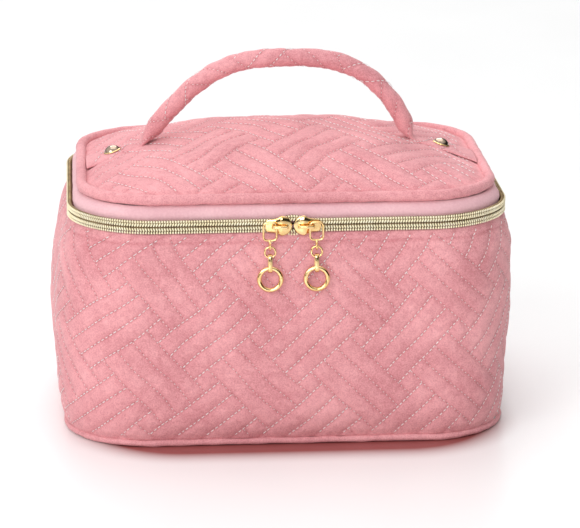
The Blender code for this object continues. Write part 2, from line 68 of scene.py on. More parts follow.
# %% [markdown]
# ## Light
# White sky overhead gives the soft, nearly shadowless light of a product table. It is dark near the
# horizon, where a real studio has its dark room, so that polished metal has something dark to
# mirror, and dimmer to the right, which shades that side of the bag. One large soft light from the
# upper left shapes the velvet, and one far behind keeps the table white.
# %% Sky and soft lights
world = bpy.data.worlds.new("studio")
bpy.context.scene.world = world
world.use_nodes = True
sky = world.node_tree
toward = sky.nodes.new("ShaderNodeTexCoord")
part_of = sky.nodes.new("ShaderNodeSeparateXYZ")
shade = sky.nodes.new("ShaderNodeMapRange")
shade.inputs["From Min"].default_value, shade.inputs["From Max"].default_value = 0.15, 0.60
shade.inputs["To Min"].default_value, shade.inputs["To Max"].default_value = 0.03, 0.85
sky.links.new(toward.outputs["Generated"], part_of.inputs[0])
leaning = sky.nodes.new("ShaderNodeMath")
leaning.operation, leaning.inputs[1].default_value = "MULTIPLY_ADD", -0.32
sky.links.new(part_of.outputs["X"], leaning.inputs[0])
sky.links.new(part_of.outputs["Z"], leaning.inputs[2])
sky.links.new(leaning.outputs[0], shade.inputs["Value"])
sky.links.new(shade.outputs[0], sky.nodes["Background"].inputs["Strength"])
sky.nodes["Background"].inputs["Color"].default_value = (1, 1, 1, 1)


def soft_light(name, place, aim, width, watts):
    """A square soft box at a place, pointed at a spot."""
    data = bpy.data.lights.new(name, "AREA")
    data.size, data.energy = width, watts
    lamp = bpy.data.objects.new(name, data)
    bpy.context.scene.collection.objects.link(lamp)
    lamp.location = place
    lamp.rotation_mode = "QUATERNION"
    lamp.rotation_quaternion = (Vector(aim) - Vector(place)).to_track_quat("-Z", "Y")
    return lamp


soft_light("key_light", (-1.15, -1.3, 1.15), (0, 0, 0.08), 1.0, 11.5)
soft_light("top_light", (0.0, 0.4, 1.7), (0, 0, 0.1), 1.6, 10)
soft_light("front_fill", (-0.25, -2.3, 0.70), (0, 0, 0.05), 0.8, 14)
soft_light("far_table_light", (0.0, 2.6, 1.8), (0, 2.2, 0), 1.8, 34)

# %% [markdown]
# ## Helpers
# Every mesh here is made from arrays of points in millimetres, because a sewn piece is easiest to
# think of in the maker's own unit. Writing the arrays straight into the mesh is quick, and it lets
# dense velvet carry real quilting instead of a painted pattern.
# %% Meshes from arrays
SEED = 11


def random(seed):
    return np.random.default_rng(SEED + seed)


def grid_quads(rows, columns, wrap=True, first=0):
    """Faces of a grid of points, row by row. wrap joins the last column to the first."""
    r, c = np.meshgrid(np.arange(rows - 1), np.arange(columns if wrap else columns - 1), indexing="ij")
    n = (c + 1) % columns
    quads = np.stack([r * columns + c, r * columns + n, (r + 1) * columns + n, (r + 1) * columns + c], -1)
    return quads.reshape(-1, 4) + first


def fan_quads(ring, centre, flip=False):
    """Closes a ring of an even number of points to a centre point, two steps to a face."""
    a, b, c = ring[0::2], ring[1::2], np.roll(ring, -2)[0::2]
    quads = np.stack([a, b, c, np.full_like(a, centre)], -1)
    return quads[:, ::-1] if flip else quads


def piece(name, points, quads, finish, attributes=None):
    """A smooth-shaded mesh object from points in millimetres and faces of four."""
    mesh = bpy.data.meshes.new(name)
    points, quads = np.asarray(points, float).reshape(-1, 3), np.asarray(quads, int).reshape(-1, 4)
    mesh.vertices.add(len(points))
    mesh.vertices.foreach_set("co", (points * 0.001).astype(np.float32).ravel())
    mesh.loops.add(quads.size)
    mesh.loops.foreach_set("vertex_index", quads.astype(np.int32).ravel())
    mesh.polygons.add(len(quads))
    mesh.polygons.foreach_set("loop_start", np.arange(0, quads.size, 4, dtype=np.int32))
    mesh.update(calc_edges=True)
    mesh.shade_smooth()
    for key, values in (attributes or {}).items():
        mesh.attributes.new(key, "FLOAT", "POINT").data.foreach_set("value",
            np.asarray(values, np.float32).ravel())
    for one in finish if isinstance(finish, (list, tuple)) else [finish]:
        mesh.materials.append(one)
    made = bpy.data.objects.new(name, mesh)
    bpy.context.scene.collection.objects.link(made)
    return made


def unit(v):
    return v / np.maximum(np.linalg.norm(v, axis=-1, keepdims=True), 1e-12)


def soft_noise(points, size, seed, waves=14):
    """Smooth noise from -1 to 1 with features about size across, the same on every run."""
    points = np.asarray(points, float)
    draw = random(seed)
    total = np.zeros(points.shape[:-1])
    for _ in range(waves):
        way = unit(draw.normal(size=points.shape[-1])) * 2 * math.pi / size * draw.uniform(0.55, 1.5)
        total += np.sin(points @ way + draw.uniform(0, 2 * math.pi))
    return total / math.sqrt(waves) * 0.9


print("helpers ready")

# %% [markdown]
# The bag is a rounded rectangle in plan, so one function walks round it. Its run is measured in
# millimetres along the velvet from the middle of the front, as a tape measure laid round the
# bag would read, and every ring of the bag (wall, welt, zip, piping) uses the same walk.
# %% Walk round the bag
CORNER_RUN = 20 * math.pi
RUNS = np.array([72, CORNER_RUN, 84, CORNER_RUN, 144, CORNER_RUN, 84, CORNER_RUN, 72])
STARTS = np.concatenate([[0], np.cumsum(RUNS)])
LAP = STARTS[-1]
FACING = np.array([[0, -1], [1, 0], [0, 1], [-1, 0], [0, -1]], float)


def walk(run, half_width, half_depth, radius, bow=0.0):
    """Plan points and outward directions at a run round a rounded rectangle."""
    run, hx, hy, r, bow = np.broadcast_arrays(*(np.asarray(v, float)
        for v in (run, half_width, half_depth, radius, bow)))
    run = np.mod(run, LAP)
    k = np.clip(np.searchsorted(STARTS, run, side="right") - 1, 0, 8)
    u = (run - STARTS[k]) / RUNS[k]
    fx, fy = hx - r, hy - r
    along = np.select([k == 0, k == 8], [u, u - 1], 2 * u - 1)
    side = k // 2
    x = np.select([side == 0, side == 1, side == 2, side == 3], [along * fx, hx, -along * fx, -hx],
        along * fx)
    y = np.select([side == 0, side == 1, side == 2, side == 3], [-hy, along * fy, hy, -along * fy], -hy)
    out = FACING[side]
    swell = (bow * np.cos(along * math.pi / 2) ** 2)[..., None]
    flat = np.stack([x, y], -1) + out * swell
    turn = (side - 1 + u) * math.pi / 2
    spoke = np.stack([np.cos(turn), np.sin(turn)], -1)
    middle = np.stack([np.where((side == 0) | (side == 1), fx, -fx), np.where((side == 1) | (side == 2),
        fy, -fy)], -1)
    corner = (k % 2 == 1)[..., None]
    return np.where(corner, middle + spoke * r[..., None], flat), np.where(corner, spoke, out)


print("one lap is", round(LAP, 1), "mm; front corner starts", walk(72.0, 107, 81.2, 32)[0].round(1))

# %% [markdown]
# Two sweeps make nearly everything that isn't quilted. `ring_sweep` carries a small section round
# the bag, as an edging is fed round a panel, and `tube` runs a rounded section along any path,
# for wires, rings and the handle.
# %% Sweeps
ZIP_Z = 108.0
ZIP_HALF, ZIP_RADIUS, ZIP_STOP_X = (104.0, 81.2), 41.0, 56.0


def ring_sweep(section, half, radius, runs, bow=0.0, lift=None):
    """Points (run, section, xyz) of a section of (out, height) pairs carried along the runs."""
    section = np.asarray(section, float)
    spot, out = walk(runs, half[0], half[1], radius, bow)
    points = np.empty((len(runs), len(section), 3))
    points[..., :2] = spot[:, None] + out[:, None] * section[None, :, 0, None]
    points[..., 2] = section[None, :, 1] + (0 if lift is None else np.asarray(lift)[:, None])
    return points


def even_runs(half, radius, start, stop, step):
    """Runs whose points lie evenly spaced along a ring, about step apart, and their spacing."""
    fine = np.linspace(start, stop, 6001)
    spots = walk(fine, half[0], half[1], radius)[0]
    length = np.concatenate([[0], np.cumsum(np.linalg.norm(np.diff(spots, axis=0), axis=1))])
    count = int(round(length[-1] / step)) + 1
    return np.interp(np.linspace(0, length[-1], count), length, fine), np.linspace(0, length[-1], count)


def zip_runs(step):
    """Runs from one zip stop on the back, round the front, to the other."""
    rest = STARTS[4] + 72 * (1 - ZIP_STOP_X / (ZIP_HALF[0] - ZIP_RADIUS))
    return even_runs(ZIP_HALF, ZIP_RADIUS, -rest, rest, step)


def ends(points, quads):
    """Adds a centre point and a fan of faces at each end of a swept tube."""
    count, around = points.shape[:2]
    flat = points.reshape(-1, 3)
    flat = np.concatenate([flat, points[0].mean(0)[None], points[-1].mean(0)[None]])
    first, last = np.arange(around), np.arange(around) + (count - 1) * around
    return flat, np.concatenate([quads, fan_quads(first, len(flat) - 2, True),
        fan_quads(last, len(flat) - 1)])


def tube(path, half_side, half_out, side, closed=False, around=12, square=1.0):
    """A rounded section carried along a path; side is the direction that half_side is measured in."""
    path = np.asarray(path, float)
    tangent = np.roll(path, -1, 0) - np.roll(path, 1, 0) if closed else np.gradient(path, axis=0)
    tangent = unit(tangent)
    side = np.broadcast_to(np.asarray(side, float), path.shape)
    side = unit(side - tangent * (side * tangent).sum(-1, keepdims=True))
    out = np.cross(tangent, side)
    angle = np.arange(around) * 2 * math.pi / around
    c, s = (np.sign(v) * np.abs(v) ** square for v in (np.cos(angle), np.sin(angle)))
    a, b = (np.broadcast_to(np.asarray(h, float), len(path))[:, None, None] for h in (half_side, half_out))
    points = path[:, None] + side[:, None] * a * c[None, :, None] + out[:, None] * b * s[None, :, None]
    if closed:
        return points.reshape(-1, 3), grid_quads(len(path) + 1, around) % (len(path) * around)
    return ends(points, grid_quads(len(path), around))


def ring(radius, centre, count=40):
    """A circle that hangs flat, facing the front."""
    t = np.arange(count) * 2 * math.pi / count
    return np.stack([radius * np.sin(t), 0 * t, radius * np.cos(t)], -1) + np.asarray(centre, float)


print("zip length, mm:", zip_runs(1.25)[1][-1].round(1))

# %% [markdown]
# ## Finishes
# Velvet scatters light from its standing pile: it is matt face on, paler where it turns away, and
# mottled where the pile leans. The sheen layer of the Principled shader gives the pale edges,
# and three sizes of noise give the lean, the blotches and the fibres. A stored value, high in the
# stitched valleys, darkens the colour there: painted shade for the shadow in the valleys.
# %% Node helpers
def new_finish(name, roughness, metallic=0.0, **sockets):
    """A Principled material with its constant values on the shader's own sockets."""
    made = bpy.data.materials.new(name)
    made.use_nodes = True
    shader = made.node_tree.nodes["Principled BSDF"]
    shader.inputs["Roughness"].default_value = roughness
    shader.inputs["Metallic"].default_value = metallic
    for key, value in sockets.items():
        shader.inputs[key.replace("_", " ")].default_value = value
    return made, made.node_tree, shader


def noise(tree, scale, detail=2.0, stretch=(1, 1, 1), rough=0.55):
    """A noise texture in metres; stretch squeezes it along an axis."""
    place = tree.nodes.new("ShaderNodeTexCoord")
    turn = tree.nodes.new("ShaderNodeMapping")
    turn.inputs["Scale"].default_value = stretch
    made = tree.nodes.new("ShaderNodeTexNoise")
    made.inputs["Scale"].default_value = scale
    made.inputs["Detail"].default_value = detail
    made.inputs["Roughness"].default_value = rough
    tree.links.new(place.outputs["Object"], turn.inputs["Vector"])
    tree.links.new(turn.outputs[0], made.inputs["Vector"])
    return made.outputs["Fac"]


def maths(tree, operation, a, b):
    """One Math node; a and b are sockets or numbers."""
    node = tree.nodes.new("ShaderNodeMath")
    node.operation = operation
    for socket, value in zip(node.inputs, (a, b)):
        if isinstance(value, (int, float)):
            socket.default_value = value
        else:
            tree.links.new(value, socket)
    return node.outputs[0]


def colours(tree, factor, stops):
    """A colour ramp; stops are (position, (r, g, b))."""
    node = tree.nodes.new("ShaderNodeValToRGB")
    ramp = node.color_ramp
    while len(ramp.elements) < len(stops):
        ramp.elements.new(0.5)
    for element, (position, colour) in zip(ramp.elements, stops):
        element.position, element.color = position, (*colour, 1)
    tree.links.new(factor, node.inputs[0])
    return node.outputs[0]


def toned(tree, colour, factor, tone):
    """Multiplies a colour by a tone, as far as factor says."""
    node = tree.nodes.new("ShaderNodeMix")
    node.data_type, node.blend_type = "RGBA", "MULTIPLY"
    tree.links.new(factor, node.inputs["Factor"])
    tree.links.new(colour, node.inputs["A"])
    node.inputs["B"].default_value = (*tone, 1)
    return node.outputs["Result"]


def stored(tree, name):
    node = tree.nodes.new("ShaderNodeAttribute")
    node.attribute_name = name
    return node.outputs["Fac"]


def bumped(tree, shader, height, strength, depth):
    node = tree.nodes.new("ShaderNodeBump")
    node.inputs["Strength"].default_value = strength
    node.inputs["Distance"].default_value = depth
    tree.links.new(height, node.inputs["Height"])
    tree.links.new(node.outputs[0], shader.inputs["Normal"])


print("node helpers ready")

# %% Velvet
def make_velvet(name, light, deep):
    made, tree, shader = new_finish(name, 0.92, Sheen_Weight=0.28, Sheen_Roughness=0.45,
        Sheen_Tint=(1.0, 0.84, 0.85, 1), Specular_IOR_Level=0.15)
    lean = noise(tree, 34, 3, (1, 1, 1.3))
    blotch = noise(tree, 330, 3)
    pile = noise(tree, 1500, 3, rough=0.7)
    mixed = maths(tree, "ADD", maths(tree, "MULTIPLY", lean, 0.30),
        maths(tree, "ADD", maths(tree, "MULTIPLY", blotch, 0.20), maths(tree, "MULTIPLY", pile, 0.50)))
    middle = tuple((a + b) / 2 for a, b in zip(light, deep))
    colour = colours(tree, mixed, [(0.38, deep), (0.5, middle), (0.62, light)])
    # Painted shade: the stored value darkens the velvet's colour in the stitched valleys.
    valley_shade = maths(tree, "MULTIPLY", stored(tree, "seam_shade"), 0.50)
    tree.links.new(toned(tree, colour, valley_shade, (0.80, 0.62, 0.64)), shader.inputs["Base Color"])
    bumped(tree, shader, maths(tree, "ADD", pile, maths(tree, "MULTIPLY", blotch, 1.6)), 0.55, 0.0005)
    return made


velvet = make_velvet("velvet", (0.88, 0.425, 0.445), (0.58, 0.215, 0.238))
print("velvet made")

# %% [markdown]
# The zip's tape and the bindings are woven: fine ribs run across them. The lining is a thin, slightly
# glossy plain weave. Threads are silvery and catch the light. Where the needle went in, a small deep
# rose dot on the velvet is painted shade for the shadow inside the hole.
# %% Tape, lining, threads
def make_woven(name, light, deep, rib, gloss):
    """A ribbed cloth: the ribs follow the stored run along the piece, in millimetres."""
    made, tree, shader = new_finish(name, gloss, Sheen_Weight=0.15, Sheen_Roughness=0.5,
        Specular_IOR_Level=0.25)
    ribs = maths(tree, "SINE", maths(tree, "MULTIPLY", stored(tree, "run"), 2 * math.pi / rib), 0)
    grain = noise(tree, 900, 2)
    mixed = maths(tree, "ADD", maths(tree, "MULTIPLY", ribs, 0.10),
        maths(tree, "ADD", maths(tree, "MULTIPLY", grain, 0.5),
        maths(tree, "MULTIPLY", noise(tree, 60, 2), 0.5)))
    tree.links.new(colours(tree, mixed, [(0.3, deep), (0.68, light)]), shader.inputs["Base Color"])
    bumped(tree, shader, maths(tree, "ADD", maths(tree, "MULTIPLY", ribs, 0.6), grain), 0.5, 0.00018)
    return made


def make_plain(name, light, deep, scale, roughness, depth, metallic=0.0, strength=0.5, **sockets):
    """A finish that drifts between two colours with fine noise, and is bumped by it."""
    made, tree, shader = new_finish(name, roughness, metallic, **sockets)
    grain = noise(tree, scale, 3)
    mixed = maths(tree, "ADD", maths(tree, "MULTIPLY", grain, 0.6),
        maths(tree, "MULTIPLY", noise(tree, scale * 0.12, 2), 0.4))
    tree.links.new(colours(tree, mixed, [(0.35, deep), (0.65, light)]), shader.inputs["Base Color"])
    bumped(tree, shader, grain, strength, depth)
    return made


tape_cloth = make_woven("mauve_tape", (0.86, 0.53, 0.56), (0.74, 0.41, 0.45), 0.62, 0.75)
lining_cloth = make_woven("lining_cloth", (0.80, 0.46, 0.49), (0.70, 0.37, 0.40), 0.45, 0.55)
silver_thread = make_plain("silver_thread", (0.95, 0.90, 0.89), (0.80, 0.70, 0.70), 2500, 0.4, 0.00008)
rose_thread = make_plain("rose_thread", (0.78, 0.36, 0.38), (0.62, 0.24, 0.27), 2500, 0.6, 0.00008)
# Painted shade: the dark rose of these discs stands for the shadow inside each needle hole.
needle_hole_shade = make_plain("needle_hole_shade", (0.50, 0.15, 0.17), (0.34, 0.09, 0.11), 2500, 0.9, 0.0001)
wadding = make_plain("wadding", (0.88, 0.86, 0.82), (0.76, 0.74, 0.70), 700, 0.95, 0.0006)
greyboard = make_plain("greyboard", (0.62, 0.60, 0.56), (0.48, 0.46, 0.43), 900, 0.85, 0.0002)
print("cloths and threads made")

# %% [markdown]
# The hardware is thin gold plating. Polished plating is nearly a mirror, with fine tumbling marks and
# tiny dulled patches where fingers touch it. The zip's coil is a metallised plastic filament: paler,
# softer, and less metallic, so it keeps its cream colour even when it mirrors something dark.
# %% Metals
def make_metal(name, light, deep, roughness, metallic, mark_scale, strength):
    made, tree, shader = new_finish(name, roughness, metallic)
    mark = noise(tree, mark_scale, 4, (1, 1, 2.5))
    wear = noise(tree, 160, 2)
    tree.links.new(colours(tree, maths(tree, "ADD", maths(tree, "MULTIPLY", mark, 0.4),
        maths(tree, "MULTIPLY", wear, 0.6)), [(0.38, deep), (0.6, light)]), shader.inputs["Base Color"])
    rub = tree.nodes.new("ShaderNodeMapRange")
    rub.inputs["From Min"].default_value, rub.inputs["From Max"].default_value = 0.4, 0.7
    rub.inputs["To Min"].default_value, rub.inputs["To Max"].default_value = roughness, roughness + 0.10
    tree.links.new(wear, rub.inputs["Value"])
    tree.links.new(rub.outputs[0], shader.inputs["Roughness"])
    bumped(tree, shader, mark, strength, 0.0001)
    return made


gold = make_metal("polished_gold", (0.95, 0.70, 0.36), (0.80, 0.53, 0.22), 0.06, 1.0, 1500, 0.10)
# Painted reflection: the dome's dark bronze stands for the dark surroundings a polished dome mirrors.
rivet_dark_reflection = make_metal("rivet_dark_reflection", (0.52, 0.40, 0.31), (0.36, 0.26, 0.19), 0.05, 1.0, 1500, 0.05)
coil_gold = make_metal("coil_gold", (1.0, 0.94, 0.72), (0.97, 0.85, 0.55), 0.30, 0.15, 2600, 0.15)
# Painted shade: a dark copy of the coil's cream gold, for the spiral between the bright crowns.
coil_shade = make_metal("coil_in_shade", (0.42, 0.31, 0.15), (0.20, 0.13, 0.06), 0.40, 0.5, 2600, 0.15)
print("metals made")

# %% [markdown]
# ## Table
# The bag stands on a white glossy table, wide enough that its far edge is never seen. Under the front
# edge the velvet tints its own contact shadow deep rose. Soft lights all round would wash that out,
# so the table's finish carries it, as a shade that fades with the distance from the base. The
# table belongs to the stage, not to the object.
# %% Table
table_finish, table_tree, table_shader = new_finish("white_table", 0.28, Specular_IOR_Level=0.5)
table_white = colours(table_tree, noise(table_tree, 9, 1),
    [(0.3, (0.93, 0.93, 0.93)), (0.7, (0.95, 0.95, 0.95))])
table_spot = table_tree.nodes.new("ShaderNodeSeparateXYZ")
table_tree.links.new(table_tree.nodes.new("ShaderNodeTexCoord").outputs["Object"], table_spot.inputs[0])
SHADE_CENTRE, SHADE_HALF, SHADE_RADIUS, SHADE_REACH = (0.002, -0.008), (0.052, 0.038), 0.038, 0.023


def beyond(axis, centre, half):
    """How far a spot on the table lies past the straight part of the shade, along one axis."""
    away = maths(table_tree, "ABSOLUTE", maths(table_tree, "ADD", table_spot.outputs[axis], -centre), 0)
    return maths(table_tree, "MAXIMUM", maths(table_tree, "SUBTRACT", away, half), 0)


def squared(value):
    return maths(table_tree, "MULTIPLY", value, value)


past_x, past_y = (beyond(axis, *sizes) for axis, sizes in zip("XY", zip(SHADE_CENTRE, SHADE_HALF)))
past = maths(table_tree, "SQRT", maths(table_tree, "ADD", squared(past_x), squared(past_y)), 0)
outside = maths(table_tree, "MULTIPLY", maths(table_tree, "SUBTRACT", past, SHADE_RADIUS), 1 / SHADE_REACH)
near = maths(table_tree, "MAXIMUM", maths(table_tree, "SUBTRACT", 1.0, outside), 0)
near = maths(table_tree, "MINIMUM", maths(table_tree, "MULTIPLY", near, 1.25), 1.0)
table_colour = toned(table_tree, table_white, squared(near), (0.32, 0.085, 0.08))
table_tree.links.new(table_colour, table_shader.inputs["Base Color"])
spokes = np.arange(96) * 2 * math.pi / 96
rims = np.array([2.0, 200.0, 1200.0, 9000.0])
table_points = np.stack([rims[:, None] * np.cos(spokes), rims[:, None] * np.sin(spokes),
    np.zeros((4, 96))], -1).reshape(-1, 3)
table_points = np.concatenate([table_points, [[0, 0, 0]]])
table_points[:, 2] = -0.05
table = piece("table", table_points,
    np.concatenate([grid_quads(4, 96)[:, ::-1], fan_quads(np.arange(96), 384)]), table_finish)
print("table 18 m across")

# %% [markdown]
# ## Quilting pattern
# The quilting is a basket weave of stitched planks: three planks lie side by side, five widths long,
# and the next three lie across them. On a slanted grid that is one small repeat of eight seams,
# so the whole pattern comes from a list of eight lines and two steps. Because it is a rule, and
# not a picture, it gives both the valleys in the velvet and the line of every thread.
# %% Plank seams
PLANK_SEAMS = [(0, q, 5, q) for q in (0, 1, 2, 3)] + [(p, -5, p, 0) for p in (1, 2, 3, 4)]


def to_seam(p, q):
    """Distance, in plank widths, from a point of the slanted grid to the nearest seam."""
    i, j = np.floor((p + q) / 8), np.floor((p - q) / 8)
    near = np.full(np.shape(p), 9.0)
    for di in (-1, 0, 1):
        for dj in (-1, 0, 1):
            lp = p - 4 * (i + di) - 4 * (j + dj)
            lq = q - 4 * (i + di) + 4 * (j + dj)
            for p0, q0, p1, q1 in PLANK_SEAMS:
                near = np.minimum(near, np.hypot(lp - np.clip(lp, p0, p1), lq - np.clip(lq, q0, q1)))
    return near


class Quilt:
    """Places the slanted grid on a panel: cloth (mm) to grid by a slightly drifting linear map."""

    def __init__(self, p_terms, q_terms, seed, drift=0.5):
        self.terms, self.seed, self.drift = (p_terms, q_terms), seed, drift
        self.back = np.linalg.inv(np.array([[p_terms[1], p_terms[2]], [q_terms[1], q_terms[2]]]))

    def grid(self, u, v):
        """The grid place of a point of the cloth."""
        a, b = np.clip(u, -160, 160) / 100, v / 100
        spot = np.stack([u, v], -1)
        found = []
        for k, t in enumerate(self.terms):
            bent = t[3] * a * a + t[4] * a * b + t[5] * b * b if len(t) > 3 else 0
            found.append(t[0] + (t[1] * u + t[2] * v) / 100 + bent + soft_noise(spot, 34, self.seed + k)
                * self.drift * 0.1)
        return found

    def cloth(self, p, q):
        """The point of the cloth at a grid place, by a few correcting steps."""
        u, v = self.back @ np.stack([p - self.terms[0][0], q - self.terms[1][0]]) * 100
        for _ in range(7):
            now = self.grid(u, v)
            step = self.back @ np.stack([p - now[0], q - now[1]]) * 100
            u, v = u + step[0], v + step[1]
        return u, v

    def distance(self, u, v, width=8.4):
        """Distance in mm from a point of the cloth to the nearest seam."""
        return to_seam(*self.grid(u, v)) * width


wall_quilt = Quilt((1.26, 7.849, 8.19, -0.185, 0.832, 0.022), (9.546, 7.189, -8.69, 0.29, 1.164, 0.045), 20)
lid_quilt = Quilt((7.563, 8.30, 7.70), (-5.70, 7.85, -7.55), 30, 0.8)
print("seam distance at the front's middle:", wall_quilt.distance(np.array([0.0]),
    np.array([60.0])).round(2), "mm")

# %% [markdown]
# A seam pulls the velvet down to the backing and the wadding pushes up beside it, so the height rises
# steeply from the thread and levels off in the middle of a plank. The thread also gathers the
# cloth, which leaves small puckers across the seam.
# %% Puffed planks
PUFF = 0.85


def puff(distance, spot, seed):
    """Height of the velvet over its backing, in mm, at a distance from the nearest seam."""
    rise = 1 - np.exp(-np.clip(distance, 0, None) / 1.15)
    pucker = soft_noise(spot, 3.2, seed) * np.exp(-((distance - 1.1) / 0.9) ** 2)
    return PUFF * rise + 0.10 * pucker


# Painted shade: how strongly the velvet's colour darkens at a distance from a seam.
def seam_shade_of(distance):
    return np.exp(-((distance / 0.75) ** 2))


print("plank crown", puff(np.array([4.2]), np.zeros((1, 2)), 1).round(2), "mm")

# %% [markdown]
# ## Cloth simulation
# Each padded panel starts as a coarse net sewn down at its edges. A little inner pressure, with gravity
# off, swells it as wadding does, and the solver finds the tension wrinkles near the corners. Only
# how far each point moved along its normal is kept, capped, and added under the fine quilting:
# the seams come after the swelling, so the solver never has to resolve a thread.
# %% Swell a panel
def swollen(name, points, quads, sewn, normals, cap, pressure=4.0):
    """How far each point of a coarse panel swells along its normal, in mm."""
    panel = piece(name, points, quads, velvet)
    group = panel.vertex_groups.new(name="sewn")
    group.add([int(i) for i in np.flatnonzero(sewn)], 1.0, "REPLACE")
    cloth = panel.modifiers.new("swell", "CLOTH")
    cloth.settings.quality = 6
    cloth.settings.mass = 0.25
    cloth.settings.tension_stiffness = cloth.settings.compression_stiffness = 20
    cloth.settings.shear_stiffness, cloth.settings.bending_stiffness = 8, 0.6
    cloth.settings.vertex_group_mass = "sewn"
    cloth.settings.use_pressure = True
    cloth.settings.uniform_pressure_force = pressure
    cloth.settings.effector_weights.gravity = 0
    scene = bpy.context.scene
    for step in range(1, 21):
        scene.frame_set(step)
    found = panel.evaluated_get(bpy.context.evaluated_depsgraph_get()).to_mesh()
    moved = np.empty(len(points) * 3, np.float32)
    found.vertices.foreach_get("co", moved)
    rise = ((moved.reshape(-1, 3) * 1000.0 - points) * normals).sum(-1)
    bpy.data.objects.remove(panel)
    scene.frame_set(1)
    rise = np.clip(np.nan_to_num(rise), -0.4 * cap, None)
    print(name, "swelled up to", rise.max().round(2), "mm, kept to", cap)
    return cap * np.tanh(rise / cap)


def sample(net, row, column, wrap=False):
    """Bilinear value of a net at fractional rows and columns."""
    rows, columns = net.shape
    row = np.clip(row, 0, rows - 1.001)
    column = np.mod(column, columns) if wrap else np.clip(column, 0, columns - 1.001)
    r, c = np.floor(row).astype(int), np.floor(column).astype(int)
    a, b = row - r, column - c
    c2 = (c + 1) % columns
    return (net[r, c] * (1 - b) + net[r, c2] * b) * (1 - a) + (net[r + 1, c] * (1 - b)
        + net[r + 1, c2] * b) * a


# %% [markdown]
# ## The wall
# The wall is one long quilted strip sewn into a loop. It widens a little at mid height, where nothing
# holds it, and draws in to the zip above and to the base below. Smooth curves through a few
# measured heights give that shape. On the right the wall has sunk in by a few millimetres, most near
# the base: SLUMP is how far, and SLUMP_AT the share of it at each of those heights.
# %% Wall shape
WALL_SECTIONS = np.array([
    (3.5, 107.5, 78.0, 40.0, 0.0), (12.0, 109.5, 80.0, 41.0, 0.8), (32.0, 110.4, 81.4, 42.0, 1.8),
    (56.0, 110.9, 81.9, 42.0, 2.4), (80.0, 109.7, 82.0, 42.0, 1.8), (94.0, 108.0, 82.0, 41.5, 0.8),
    (103.5, 104.1, 81.2, 41.1, 0.0)]) - np.array([0, 0.9, 0.9, 0.9, 0])


SLUMP, SLUMP_AT = 3.4, np.array([0.75, 1.0, 1.0, 0.72, 0.42, 0.2, 0.0])


def through(z, heights, values):
    """A smooth curve through values at given heights."""
    slope = np.gradient(values, heights)
    k = np.clip(np.searchsorted(heights, z) - 1, 0, len(heights) - 2)
    gap = heights[k + 1] - heights[k]
    t = np.clip((z - heights[k]) / gap, 0, 1)
    return ((1 + 2 * t) * (1 - t) ** 2 * values[k] + t * (1 - t) ** 2 * gap * slope[k]
            + t * t * (3 - 2 * t) * values[k + 1] + t * t * (t - 1) * gap * slope[k + 1])


def slumped(spot, z):
    """Points drawn in toward the middle on the right, where the soft wall has sunk a little."""
    depth = SLUMP * through(z, WALL_SECTIONS[:, 0], SLUMP_AT) * np.clip((spot[..., 0] - 15) / 80, 0, 1.1) ** 2
    moved = np.array(spot)
    moved[..., 0] -= depth
    return moved


def wall_base(run, z, inset=0.0):
    """The backing's place at a run and height."""
    hx, hy, r, bow = (through(z, WALL_SECTIONS[:, 0], WALL_SECTIONS[:, k]) for k in (1, 2, 3, 4))
    spot, out = walk(run, hx - inset, hy - inset, r - inset, bow)
    spot = slumped(spot, z)
    return np.concatenate([spot, np.asarray(z, float)[..., None] * np.ones(spot.shape[:-1])[..., None]], -1)


def wall_normal(run, z):
    e = 0.4
    across = wall_base(run + e, z) - wall_base(run - e, z)
    rise = wall_base(run, np.minimum(z + e, 103.5)) - wall_base(run, np.maximum(z - e, 3.5))
    return unit(np.cross(across, rise))


NET_ROWS, NET_COLUMNS = 21, 144
net_run, net_z = np.meshgrid(np.arange(NET_COLUMNS) * LAP / NET_COLUMNS, np.linspace(3.5, 103.5, NET_ROWS))
net_points = wall_base(net_run, net_z).reshape(-1, 3)
sewn_rows = np.isin(np.arange(NET_ROWS), (0, NET_ROWS - 1)).repeat(NET_COLUMNS)
wall_swell = swollen("wall_net", net_points, grid_quads(NET_ROWS, NET_COLUMNS), sewn_rows,
                     wall_normal(net_run, net_z).reshape(-1, 3), 0.7).reshape(NET_ROWS, NET_COLUMNS)


def wall_lift(run, z):
    """Swelling plus the slow hand-made unevenness of the strip, in mm, fading at its sewn edges."""
    spot = wall_base(run, z)
    held = np.clip((z - 3.5) / 14, 0, 1) * np.clip((103.5 - z) / 14, 0, 1)
    slow = soft_noise(spot, 46, 41) * 0.30 + soft_noise(spot, 19, 42) * 0.16
    return sample(wall_swell, (z - 3.5) / 100 * (NET_ROWS - 1), run / LAP * NET_COLUMNS, True) + slow * held


def wall_face(run, z):
    """Place and normal of the cloth under the planks."""
    normal = wall_normal(run, z)
    return wall_base(run, z) + normal * wall_lift(run, z)[..., None], normal


print("wall widest", 2 * WALL_SECTIONS[:, 1].max(), "mm")

# %% [markdown]
# The top of the strip is folded in and topstitched under four millimetres down, which leaves a
# plump hem. The fine mesh follows the hem over its edge and down inside, and at the bottom it
# turns in to the welt. A vertical run of valleys at the back hides where the strip is joined.
# %% Wall mesh
HEM_Z, WALL_TOP, COLUMNS = 99.9, 103.4, 720


def cloth_run(run):
    """The run counted both ways from the middle of the front, so the join is at the back."""
    return np.mod(run + LAP / 2, LAP) - LAP / 2


def hem(run, z):
    """Height added by the hem's roll, and taken by the dimples of its topstitching."""
    spot = np.stack([run, z], -1)
    seam = HEM_Z + 0.25 * soft_noise(spot[..., :1], 30, 51)
    dimple = 0.75 + 0.45 * np.cos(run * 2 * math.pi / 3.1) * (np.abs(z - seam) < 1.2)
    roll = 0.45 * np.sin(np.clip((z - seam) / 4.2, 0, 1) * math.pi)
    return roll - 0.40 * dimple * np.exp(-(((z - seam) / 0.65) ** 2)), seam


